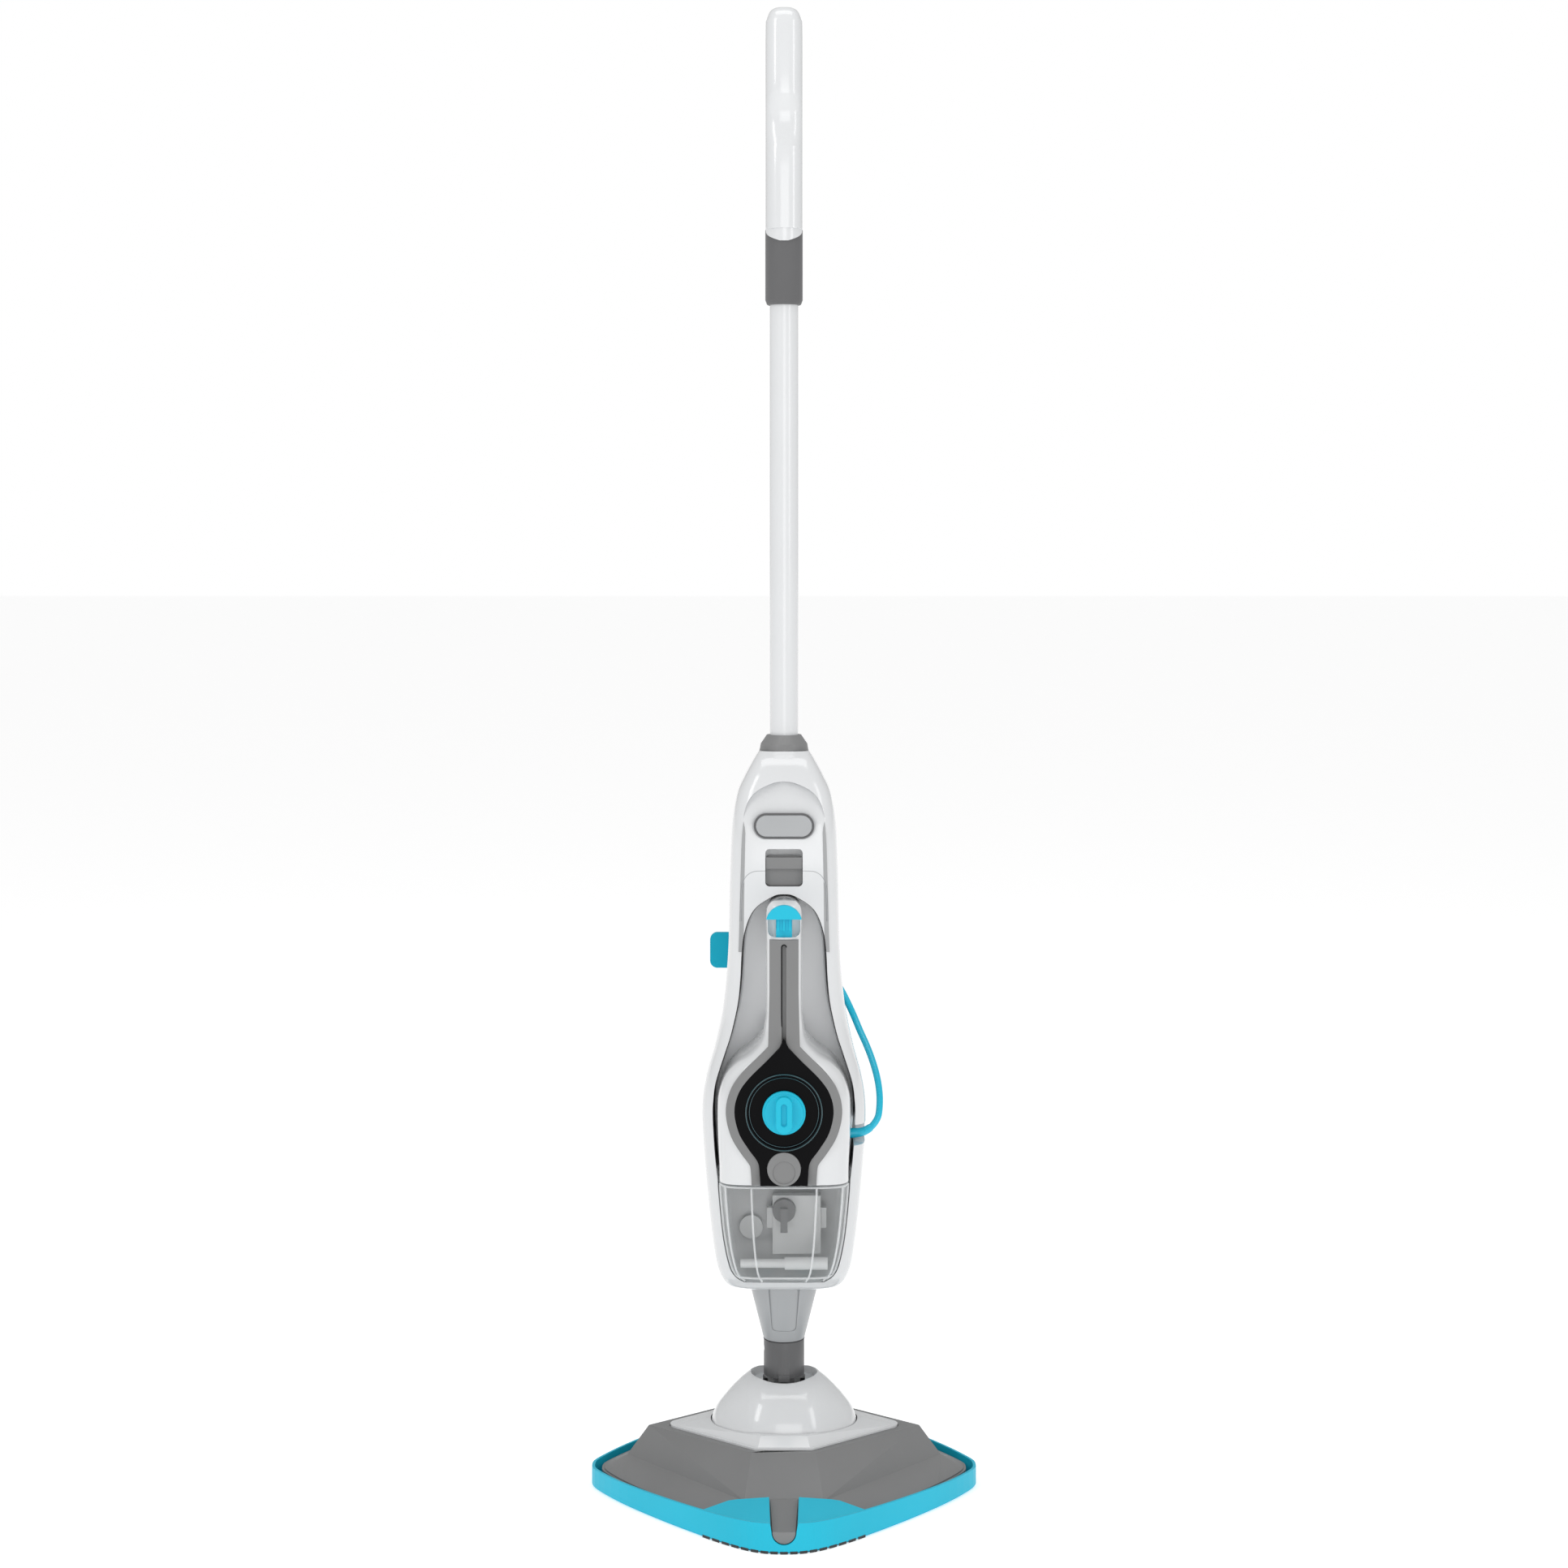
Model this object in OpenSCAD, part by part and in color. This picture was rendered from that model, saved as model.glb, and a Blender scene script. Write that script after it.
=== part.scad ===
// Upright steam mop with a lift-out handheld steamer, a floor head and a carpet glider.
// Units are millimetres. The origin is on the floor under the middle of the head, +Z is up,
// and the front of the mop faces -Y. The mop stands with its handle upright.

/* [Handle] */
// Overall height of the mop
total_h = 1170; // [1120:5:1220]
// Outside diameter of the pole
pole_d = 22.4; // [20:0.2:24]
// Width of the hand grip
grip_w = 29; // [26:0.5:32]
// Depth of the hand grip, front to back
grip_depth = 38; // [34:1:42]
// Length of the hand grip
grip_len = 176; // [150:2:200]
// Length of the soft sleeve under the grip
sleeve_len = 60; // [50:1:70]

/* [Main body] */
// Height of the body's lower end above the floor
body_bottom = 162; // [158:1:166]
// Wall of the body shells
shell_wall = 2.6; // [2:0.2:3.2]
// Depth of the docking bay behind the parting plane
bay_floor_y = 15; // [13:0.5:17]
// Gap between the bay and the docked handheld unit
bay_gap = 1; // [0.7:0.1:1.4]

/* [Handheld unit] */
// Width of the handle bar
bar_w = 28; // [26:0.5:30]
// Radius of the round end of the fascia
fascia_r = 38; // [36:0.5:39]
// Height of the dial's centre
dial_z = 309.5; // [306:0.5:313]
// Radius of the dial knob
dial_r = 16.6; // [15:0.2:18]
// Radius of the tank release button
button_r = 12.9; // [12:0.1:13.4]
// Travel of the steam trigger
trigger_travel = 5; // [4:0.5:6]

/* [Floor head] */
// Width of the head over the carpet glider
head_w = 304; // [300:1:308]
// Depth of the head over the carpet glider
head_d = 320; // [316:1:324]
// Height of the tilt axis above the floor
tilt_z = 44; // [43:0.5:45]
// Height of the glider's rim at the front and back corners
rim_z = 23.6; // [22:0.2:24]
// Height of the glider's rim at the side corners
rim_side_z = 16; // [15:0.5:18]

/* [Cord] */
// Diameter of the mains cord
cord_d = 5.4; // [5:0.1:6]
// Height of the upper cord post
upper_post_z = 412; // [408:1:416]
// Height of the lower cord post
lower_post_z = 212; // [208:1:216]

/* [Hidden] */
$fn = 64;
// Hair's breadth used where one solid must cut cleanly through another
eps = 0.05;
// Steps per span where a curve is drawn through its points
curve_steps = 4;

// ---- Curves and outlines ----

// One point of a smooth curve between b and c, with neighbours a and d.
function spline_point(a, b, c, d, t) =
    0.5 * (2 * b + (c - a) * t + (2 * a - 5 * b + 4 * c - d) * t * t
        + (3 * b - a - 3 * c + d) * t * t * t);

// A smooth open curve through every point of the list.
function smooth(points, steps = curve_steps) =
    let (last = len(points) - 1)
    concat(
        [for (i = [0:last - 1], s = [0:steps - 1])
            spline_point(points[max(i - 1, 0)], points[i], points[i + 1],
                points[min(i + 2, last)], s / steps)],
        [points[last]]);

// A right-hand half outline, from top to bottom, closed by its mirror image.
// Points that lie on the middle plane are not repeated.
function both_sides(half) =
    concat(half, [for (i = [len(half) - 1:-1:0]) if (half[i].x > 0.01) [-half[i].x, half[i].y]]);

// Unit normal of the corner between two edges, pointing to the right of travel.
function corner_normal(a, b, c) =
    let (d = (b - a) / norm(b - a) + (c - b) / norm(c - b))
    [d.y, -d.x] / norm(d);

// A closed outline moved by dist to the right of its direction of travel.
function shifted(outline, dist) =
    let (n = len(outline))
    [for (i = [0:n - 1])
        outline[i] + dist * corner_normal(outline[(i + n - 1) % n], outline[i], outline[(i + 1) % n])];

// Solids cut from an outline seen from the front (X, Z), between two depths.
module front_cut(outline, y_front, y_back) {
    translate([0, y_back, 0]) rotate([90, 0, 0]) linear_extrude(y_back - y_front) polygon(outline);
}

// Solids cut from an outline seen from the side (Y, Z), between two widths.
module side_cut(outline, x_left, x_right) {
    translate([x_left, 0, 0]) rotate([90, 0, 90]) linear_extrude(x_right - x_left) polygon(outline);
}

// A box given by its two opposite corners.
module box(low, high) {
    translate(low) cube(high - low);
}

// A cylinder along +Y from y_front to y_back.
module rod_y(r, x, z, y_front, y_back) {
    translate([x, y_front, z]) rotate([-90, 0, 0]) cylinder(r = r, h = y_back - y_front);
}

// A cylinder along +X from x_left to x_right.
module rod_x(r, y, z, x_left, x_right) {
    translate([x_left, y, z]) rotate([0, 90, 0]) cylinder(r = r, h = x_right - x_left);
}

// A box with its four edges along Y rounded, centred on x and z.
module pad_y(x, z, w, h, r, y_front, y_back) {
    translate([x, y_back, z]) rotate([90, 0, 0]) linear_extrude(y_back - y_front) union() {
        square([w - 2 * r, h], center = true);
        square([w, h - 2 * r], center = true);
        for (sx = [-1, 1], sz = [-1, 1])
            translate([sx * (w / 2 - r), sz * (h / 2 - r)]) circle(r);
    }
}

// A round pipe along straight runs, with a swelling at each bend.
module pipe_run(points, r) {
    for (i = [0:len(points) - 2]) {
        run = points[i + 1] - points[i];
        translate(points[i])
            rotate([0, acos(run.z / norm(run)), atan2(run.y, run.x)]) cylinder(r = r, h = norm(run));
    }
    for (i = [1:len(points) - 2])
        translate(points[i]) sphere(r + 0.4);
}

// Coil spring drawn as the sleeve that it fills, along +Z.
module spring_sleeve(r_out, r_in, h) {
    difference() {
        cylinder(r = r_out, h = h);
        translate([0, 0, -eps]) cylinder(r = r_in, h = h + 2 * eps);
    }
}

// ---- Main body outlines, seen from the front as (X, Z) ----
body_half = concat([[0, 582]], smooth([
    [19.5, 582], [25, 573], [31.5, 561], [37, 548], [40.8, 524], [42.6, 480], [44, 425],
    [48, 382], [54, 353], [61, 328], [64.4, 305], [63.4, 275], [59.4, 228], [55, 192],
    [51.5, 176], [45.5, 165.5], [36, body_bottom]]), [[0, body_bottom]]);
body_outline = both_sides(body_half);
unit_bottom_z = 252;
tank_top_z = 251;
tank_bottom_z = 171;
unit_half = smooth([
    [0, 472], [7, 471], [19.4, 463.5], [26, 454.5], [30.4, 440.5], [32, 426.5], [33, 407],
    [35, 387.5], [40.2, 364], [45, 349], [52, 327], [54, 313], [54.5, 299], [53, 272],
    [50.8, unit_bottom_z]]);
tank_half = smooth([[50.7, tank_top_z], [49.8, 236], [46.6, 206], [42, 184], [37.5, 175.5],
    [31, tank_bottom_z]]);
bay_half = concat(unit_half, tank_half, [[0, tank_bottom_z]]);
bay_outline = shifted(both_sides(bay_half), -bay_gap);

// Side view of the main body as (Y, Z): the front runs down, the back runs up.
body_side = concat(
    smooth([[-19.5, 582], [-30, 573], [-39, 555], [-44, 525], [-46, 480], [-46, 400],
        [-47, 300], [-46, 220], [-44, 182], [-38, 167], [-30.5, body_bottom]]),
    smooth([[30.5, body_bottom], [41, 170], [48, 198], [50, 280], [48, 400], [44, 500],
        [36, 552], [26, 574], [19.5, 582]]));
parting_y = -8;
body_back_y = 50;

// ---- Colours ----
white = [0.93, 0.94, 0.95];
panel_grey = [0.80, 0.82, 0.83];
mid_grey = [0.52, 0.53, 0.54];
dark_grey = [0.36, 0.37, 0.38];
turquoise = [0.20, 0.72, 0.86];
deep_turquoise = [0.0, 0.60, 0.72];
clear = [0.85, 0.90, 0.92, 0.45];
brass = [0.80, 0.66, 0.36];

// ---- Floor head ----

// Quarter outline of the head in plan, from the right-hand corner to the front corner,
// for a head with half-width 152 and half-depth 160. The edges bow outwards a little.
head_quarter = [[152, 0], [149, 14], [128, 47], [94, 88], [57, 127], [32, 149], [15, 158], [0, 160]];

// The head's plan outline, drawn in by inset all round.
function head_plan(inset) =
    let (
        sx = (head_w / 2 - inset) / 152,
        sy = (head_d / 2 - inset) / 160,
        quarter = [for (p = smooth(head_quarter)) [p.x * sx, p.y * sy]],
        n = len(quarter) - 1)
    concat(
        [for (i = [0:n - 1]) quarter[i]],
        [for (i = [n:-1:1]) [-quarter[i].x, quarter[i].y]],
        [for (i = [0:n - 1]) [-quarter[i].x, -quarter[i].y]],
        [for (i = [n:-1:1]) [quarter[i].x, -quarter[i].y]]);

module head_slab(inset, z_low, z_high) {
    translate([0, 0, z_low]) linear_extrude(z_high - z_low) polygon(head_plan(inset));
}

glider_floor = 2.5;
pad_top = 8;
sole_top = 11;
flange_z = 14;
head_screw_places = [[-80, 0], [80, 0], [0, -100], [0, 100]];
// The front of the glider runs up and over the flange as two flaps, with a notch between.
flap_half_w = 62;
flap_slope = 11;
flap_t = 2;
notch_half_w = 9.2;
notch_z = 16.2;

// Height of the rim at a distance x from the middle.
function rim_at(x) = rim_z - (rim_z - rim_side_z) * abs(x) / (head_w / 2);

// Wall of the glider: it rises from the side corners towards the front and back.
module glider_wall() {
    intersection() {
        difference() {
            head_slab(0, glider_floor - eps, rim_z + 1);
            head_slab(2.4, 0, rim_z + 2);
        }
        front_cut([[0, rim_z], [head_w / 2 + 1, rim_side_z], [head_w / 2 + 1, 0],
            [-head_w / 2 - 1, 0], [-head_w / 2 - 1, rim_side_z]], -170, 170);
    }
}

// Two plates that clip over the head's front flange. Each turns up about the line from the
// front corner to the flap's outer tip, so that both its ends stay on the rim.
flap_tip_y = -122;
module glider_flaps() {
    run = [flap_half_w, flap_tip_y + head_d / 2];
    drop = atan((rim_z - rim_at(flap_half_w)) / norm(run));
    for (side = [0, 1]) mirror([side, 0, 0]) intersection() {
        translate([0, -head_d / 2, rim_z]) rotate([flap_slope, drop, atan2(run.y, run.x)])
            box([-30, -20, -flap_t], [110, 70, 0]);
        head_slab(1, 10, 40);
        translate([0, 0, 10]) linear_extrude(30) polygon([
            [0, -116], [13, -116], [35, -112.6], [42, -112.6], [flap_half_w, flap_tip_y],
            [flap_half_w, -170], [0, -170]]);
    }
}

module carpet_glider() {
    color(turquoise) difference() {
        union() {
            head_slab(3, 0, 1.2);
            head_slab(0.8, 1.2, glider_floor);
            glider_wall();
            glider_flaps();
        }
        // Steam slots through the floor
        for (y = [-90:30:90]) {
            reach = 120 - abs(y);
            for (sx = [-1, 1])
                translate([sx * reach * 0.45, y, -1])
                    linear_extrude(glider_floor + 2) square([reach * 0.7, 9], center = true);
        }
        // Notch between the flaps, round at its lower end and wider at its top
        rod_y(notch_half_w, 0, notch_z, -170, -100);
        front_cut([[-notch_half_w, notch_z], [notch_half_w, notch_z], [notch_half_w + 2.4, 30],
            [notch_half_w + 2.4, 50], [-notch_half_w - 2.4, 50], [-notch_half_w - 2.4, 30]], -170, -100);
        // Row of vents along the front edge
        for (i = [-8:8])
            translate([i * 8.4, -150, 0.8]) cube([6.6, 60, 1.3], center = true);
    }
}

module microfibre_pad() {
    color([0.90, 0.91, 0.90]) head_slab(8, glider_floor + 0.3, pad_top);
}

module sole_plate() {
    color(mid_grey) difference() {
        head_slab(9, pad_top + 0.2, sole_top);
        for (x = [-75:30:75])
            translate([x, 0, 0]) cylinder(r = 2.5, h = 20);
        for (p = head_screw_places)
            translate([p.x, p.y, 0]) cylinder(r = 2.2, h = 20);
    }
}

// Plan of the head's raised housing: a diamond with cut corners.
function housing_plan(x_side, y_end, cut) = [
    [x_side, 0], [cut, y_end], [-cut, y_end], [-x_side, 0], [-cut, -y_end], [cut, -y_end]];

housing_top_z = 47;
tongue_half_w = notch_half_w - 0.6;
module head_base() {
    color(mid_grey) difference() {
        union() {
            head_slab(8, sole_top + 0.2, flange_z);
            hull() {
                head_slab(10, flange_z - 0.5, flange_z + 1);
                translate([0, 0, 23]) linear_extrude(1) polygon(housing_plan(124, 112, 30));
            }
            hull() {
                translate([0, 0, 23]) linear_extrude(1) polygon(housing_plan(124, 112, 30));
                translate([0, 0, housing_top_z - 1]) linear_extrude(1)
                    polygon(housing_plan(107, 70, 25));
            }
            // Tongue over the front corner, with a round lip at its lower end
            hull() {
                translate([0, -110, 22]) cube([20.6, 6, 6], center = true);
                box([-tongue_half_w, -158.4, notch_z - 1], [tongue_half_w, -152.4, notch_z]);
            }
            intersection() {
                rod_y(tongue_half_w, 0, notch_z, -158.4, -152.4);
                box([-20, -160, 0], [20, -150, notch_z]);
            }
        }
        // Room under the housing for the swivel dome and the steam outlet
        translate([0, 0, sole_top + 0.1]) linear_extrude(50) polygon(housing_plan(90, 56, 22));
        // Hollow under the slopes, around the screw pillars
        difference() {
            translate([0, 0, sole_top]) linear_extrude(15) polygon(housing_plan(112, 100, 27));
            for (p = head_screw_places)
                translate([p.x, p.y, 0]) cylinder(r = 5, h = 40);
        }
        // Seat of the top plate
        translate([0, 0, housing_top_z - 3]) linear_extrude(10) plate_plan(90.5, 65, 22.1, 11.3);
        for (p = head_screw_places)
            translate([p.x, p.y, sole_top]) cylinder(r = 1.6, h = 14);
    }
}

// Half profile of the swivel dome along its tilt axis, as (distance along X, radius).
dome_profile = [[0, 50], [14, 49.2], [26, 46], [39.5, 35], [48.6, 25], [53.7, 18], [57, 10], [58, 5]];

// Solid of revolution about the tilt axis, grown by extra all over.
module dome_form(extra) {
    half = smooth(dome_profile, 2);
    n = len(half) - 1;
    ring = concat(
        [[0, 58 + extra]],
        [for (i = [n:-1:0]) [half[i].y + extra, half[i].x + extra * half[i].x / 58]],
        [for (i = [1:n]) [half[i].y + extra, -half[i].x - extra * half[i].x / 58]],
        [[0, -58 - extra]]);
    translate([0, 0, tilt_z]) rotate([0, 90, 0]) rotate_extrude($fn = 96) polygon(ring);
}

// The top plate's plan: the housing's diamond with round corners at the sides.
module plate_plan(x_side, y_end, cut, corner_r) {
    hull() {
        for (sx = [-1, 1])
            translate([sx * (x_side - corner_r), 0]) circle(corner_r);
        square([2 * cut, 2 * y_end], center = true);
    }
}

module head_top_plate() {
    color(white) difference() {
        union() {
            translate([0, 0, housing_top_z - 2.9]) linear_extrude(4.4)
                plate_plan(90, 64.5, 21.7, 11);
            // Raised saddle round the dome
            hull() {
                translate([0, 0, housing_top_z + 1]) linear_extrude(0.5) plate_plan(85, 62, 20, 10);
                translate([0, 0, 54.5]) linear_extrude(0.5) polygon(housing_plan(50, 54, 18));
            }
        }
        dome_form(0.7);
        // Hollow under the plate, over the trunnions
        box([-70, -10, 30], [70, 10, housing_top_z + 1.8]);
    }
}

trunnion_r = 4;
module trunnion_caps() {
    color(dark_grey) for (sx = [-1, 1]) difference() {
        translate([sx * 63.5, 0, 0]) box([-4, -8, sole_top + 0.2], [4, 8, 46]);
        rod_x(trunnion_r + 0.06, 0, tilt_z, sx * 63.5 - 5, sx * 63.5 + 5);
    }
}

nozzle_y = -25;
module steam_nozzle() {
    color([0.20, 0.20, 0.21]) difference() {
        union() {
            translate([0, nozzle_y, sole_top + 0.1]) cylinder(r = 7, h = 3);
            translate([0, nozzle_y, sole_top + 0.1]) cylinder(r = 3.5, h = 8);
        }
        translate([0, nozzle_y, sole_top]) cylinder(r = 1.8, h = 12);
    }
}

module head_screws() {
    color([0.75, 0.75, 0.76]) for (p = head_screw_places) {
        translate([p.x, p.y, pad_top + 0.3]) cylinder(r = 2.1, h = 2.7);
        translate([p.x, p.y, sole_top - 1]) cylinder(r = 1.55, h = 12);
    }
}

// ---- Swivel dome and neck ----
dish_z = 83.8;
dish_r = 26.5;
pin_r = 3;
yoke_half_d = 11;
dome_front_z = 12.6;
module swivel_dome() {
    color(white) difference() {
        union() {
            difference() {
                dome_form(0);
                dome_form(-3);
                // The shell stops at the plate behind; in front it reaches down far enough to
                // keep the room closed as the handle tilts back
                box([-70, 0, -20], [70, 70, 56]);
                box([-70, -70, -20], [70, 1, dome_front_z]);
            }
            intersection() {
                dome_form(0);
                union() {
                    // Dish floor and its rim, and the cheeks that carry the swivel pin
                    translate([0, 0, dish_z - 3]) cylinder(r = 42, h = 3);
                    translate([0, 0, dish_z - 3]) cylinder(r = dish_r + 3, h = 14);
                    for (sy = [-1, 1])
                        translate([0, sy * 14.5, 0]) box([-13, -2.5, 38], [13, 2.5, dish_z - 1]);
                }
            }
            // Trunnions and the end webs that carry them
            for (sx = [-1, 1]) {
                rod_x(trunnion_r, 0, tilt_z, sx * 60 - 6.5, sx * 60 + 6.5);
                rod_x(8, 0, tilt_z, sx * 52 - 3.5, sx * 52 + 3.5);
                intersection() {
                    dome_form(-1);
                    box([sx * 52 - 3.5, -4, tilt_z], [sx * 52 + 3.5, 4, 80]);
                }
            }
        }
        // Open dish round the neck
        translate([0, 0, dish_z]) cylinder(r1 = 24.2, r2 = dish_r, h = 90 - dish_z + eps);
        translate([0, 0, 90]) cylinder(r = 60, h = 20);
        // Slot that lets the neck swing from side to side
        box([-22, -yoke_half_d - 0.6, 36], [22, yoke_half_d + 0.6, dish_z - 6]);
        box([-16.6, -yoke_half_d - 0.6, 60], [16.6, yoke_half_d + 0.6, dish_z + 1]);
        rod_y(pin_r, 0, tilt_z, -30, 30);
    }
}

module swivel_pin() {
    color([0.75, 0.75, 0.76]) rod_y(pin_r, 0, tilt_z, -16.9, 16.9);
}

neck_r = 16;
neck_wall = 2.4;
neck_bottom = 88;
neck_top = 116;
module swivel_yoke() {
    color(dark_grey) difference() {
        union() {
            rod_y(8, 0, tilt_z, -yoke_half_d, yoke_half_d);
            box([-8, -yoke_half_d, tilt_z], [8, yoke_half_d, neck_bottom + 4]);
            translate([0, 0, neck_bottom]) cylinder(r = neck_r - neck_wall, h = 12);
        }
        rod_y(pin_r + 0.05, 0, tilt_z, -20, 20);
        translate([0, 0, 62]) cylinder(r = 4, h = 50);
        rod_x(4, 0, 64, -20, 20);
    }
}

module neck_tube() {
    color(dark_grey) difference() {
        union() {
            translate([0, 0, neck_bottom]) cylinder(r = neck_r, h = neck_top - neck_bottom);
            // Keying tab at the lower front edge
            box([-4.4, -neck_r - 0.4, neck_bottom - 2.4], [4.4, -neck_r + 3, neck_bottom + 3]);
        }
        translate([0, 0, neck_bottom - 5]) cylinder(r = neck_r - neck_wall, h = 50);
        // Release hole for the catch inside the neck
        rod_x(3.4, 0, 108, -30, -5);
    }
}

cone_bottom_r = 15.2;
cone_top_r = 28.4;
cone_h = body_bottom + 3 - neck_top;
module cone_neck() {
    color([0.74, 0.76, 0.77]) difference() {
        union() {
            translate([0, 0, neck_top]) cylinder(r1 = cone_bottom_r, r2 = cone_top_r, h = cone_h);
            translate([0, 0, 100]) cylinder(r = neck_r - neck_wall - 0.15, h = 17);
        }
        translate([0, 0, neck_top + 2])
            cylinder(r1 = cone_bottom_r - 2.8, r2 = cone_top_r - 2.6, h = cone_h - 1.9);
        translate([0, 0, 95]) cylinder(r = 11, h = 30);
    }
}

// ---- Main body ----
pole_bottom = 556;
sleeve_bottom = total_h - grip_len - sleeve_len;
collar_z = 580;
wall_in = shifted(body_outline, shell_wall);
side_in = shifted(body_side, -shell_wall);

// The whole outer form of the main body.
module body_form(front_profile, side_profile) {
    intersection() {
        front_cut(front_profile, -60, 60);
        side_cut(side_profile, -70, 70);
    }
}

// Frame of the front: raised rim with a panel set back inside it above the bay.
panel_outline = both_sides(concat([[0, 558]], smooth([
    [8, 556.5], [25, 548], [31, 536], [33.2, 515], [34, 480], [35.5, 440]]), [[0, 440]]));
latch_x = 14;
latch_low = 479;
latch_high = 508;
latch_travel = 5;
latch_h = latch_high - latch_low - latch_travel - 1;
badge_z = 526;
cord_exit_y = -18;
cord_exit_z = 282;
screw_places = [[-30, 520], [30, 520], [-40, 232], [40, 232]];

// Notch that the cord leaves by, open to the front.
module cord_notch() {
    box([50, -60, cord_exit_z - 5], [80, 4, cord_exit_z + 11]);
}

// Seat of the cone in the body's lower end.
module cone_seat() {
    translate([0, 0, body_bottom - 5]) cylinder(r = cone_top_r + 0.1, h = 8.1);
}

module front_frame() {
    color(white) difference() {
        intersection() {
            body_form(body_outline, body_side);
            box([-80, -60, 100], [80, parting_y, 600]);
        }
        // Hollow above the bay
        intersection() {
            body_form(wall_in, side_in);
            box([-80, -38.5, latch_low - 3], [80, 0, 600]);
        }
        // Bay for the handheld unit, open to the front
        front_cut(bay_outline, -60, 0);
        // Set-back panel
        intersection() {
            front_cut(panel_outline, -60, -42.5);
            box([-50, -60, 440], [50, 0, 560]);
        }
        // Window of the unit latch
        pad_y(0, (latch_low + latch_high) / 2, 2 * latch_x + 1, latch_high - latch_low, 3.2, -60, -30);
        // Pocket for the latch's foot
        box([-11.5, -41, 474.4], [11.5, -29, latch_low + 1]);
        cord_notch();
        cone_seat();
        // Seat of the pole
        translate([0, 0, 540]) cylinder(r = pole_d / 2 + 0.02, h = 60);
    }
    // Bridge over the latch that its spring pushes against
    color(white) difference() {
        box([-20, -39, 494], [20, -29, 497]);
        box([-15, -42, 490], [15, -35.8, 500]);
    }
}

module back_shell() {
    color(white) difference() {
        union() {
            difference() {
                intersection() {
                    body_form(body_outline, body_side);
                    box([-80, parting_y, 100], [80, 60, 600]);
                }
                body_form(wall_in, side_in);
            }
            // Screw pillars, and the ring that grips the pole
            intersection() {
                body_form(body_outline, body_side);
                union() {
                    for (p = screw_places)
                        rod_y(4, p.x, p.y, bay_floor_y + 4, body_back_y);
                    translate([0, 0, 550]) cylinder(r = pole_d / 2 + 4, h = 24);
                    box([-2, 13, 550], [2, 50, 572]);
                    // Floor of the shell over the cone
                    box([-40, parting_y, body_bottom], [40, 50, body_bottom + 5]);
                }
            }
        }
        for (p = screw_places)
            rod_y(1.6, p.x, p.y, 0, 70);
        cord_notch();
        translate([0, 0, 540]) cylinder(r = pole_d / 2 + 0.02, h = 60);
        // Way down for the steam pipe
        cone_seat();
        translate([0, 20, body_bottom - 5]) cylinder(r = 7, h = 20);
        // Bay for the handheld unit
        front_cut(bay_outline, -60, bay_floor_y + 0.3);
        // Seats of the two cord posts
        for (z = [lower_post_z, upper_post_z])
            rod_y(6, 0, z, 40, 60);
    }
}

socket_z = 308;
module docking_bay() {
    flange = shifted(bay_outline, -1.6);
    color(panel_grey) difference() {
        intersection() {
            front_cut(flange, parting_y + 0.1, bay_floor_y + 2);
            body_form(wall_in, side_in);
        }
        front_cut(bay_outline, -60, bay_floor_y);
        rod_y(7.1, 0, socket_z, 0, 30);
        cord_notch();
    }
}

module badge_plate() {
    color([0.86, 0.87, 0.88]) union() {
        pad_y(0, badge_z, 49, 21, 10.4, -44.4, -42.5);
        pad_y(0, badge_z, 43.5, 16.5, 8.2, -45.4, -44.4);
    }
}

module steam_socket() {
    color(dark_grey) difference() {
        union() {
            rod_y(7, 0, socket_z, bay_floor_y + 0.2, 38);
            rod_y(11, 0, socket_z, bay_floor_y + 2.1, bay_floor_y + 5);
        }
        rod_y(4.6, 0, socket_z, 0, 34);
        rod_y(5.6, 0, socket_z, 0, bay_floor_y + 4);
        translate([0, 31, socket_z - 20]) cylinder(r = 3.2, h = 20);
    }
}

module socket_seal() {
    color([0.12, 0.12, 0.12]) difference() {
        rod_y(5.55, 0, socket_z, bay_floor_y + 0.8, bay_floor_y + 3.4);
        rod_y(4.05, 0, socket_z, 0, 30);
    }
}

module body_steam_pipe() {
    color([0.85, 0.84, 0.80])
        pipe_run([[0, 31, socket_z - 7.2], [0, 31, 184], [0, 15, 158], [0, 2, 132], [0, 0, 104]], 3);
}

module latch_spring() {
    color([0.75, 0.75, 0.76]) translate([0, -32.5, latch_low])
        spring_sleeve(2.6, 1.6, 15);
}

// Sliding catch that holds the handheld unit; the thumb ridge stands in the window.
module unit_latch() {
    color(mid_grey) union() {
        pad_y(0, latch_low + (latch_h + 1) / 2, 2 * latch_x, latch_h, 3, -40.2, -37.2);
        box([-latch_x, -43.4, latch_low + 13.6], [latch_x, -39, latch_low + 22.4]);
        box([-11, -38, latch_low - 4], [11, -36, latch_low + 6]);
        box([-7, -37, latch_low - 4], [7, -29.6, latch_low]);
    }
}

post_r = 17;
module cord_post(z) {
    rod_y(5.9, 0, z, 45, 53);
    rod_y(post_r, 0, z, body_back_y + 0.4, hank_back + 3);
}

hank_front = 53;
hank_back = 76;
// Fixed lower post: its lip points down and keeps the wound cord on.
module lower_cord_hook() {
    color(deep_turquoise) union() {
        cord_post(lower_post_z);
        pad_y(0, lower_post_z - 14, 30, 58, 6, hank_back + 1, hank_back + 5);
    }
}

// Turning upper post: its lip points to the left at rest, and up when it holds the cord.
module upper_cord_hook() {
    color(deep_turquoise) union() {
        cord_post(upper_post_z);
        pad_y(-23, upper_post_z, 75, 29, 6, hank_back + 1, hank_back + 5);
    }
}

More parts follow.
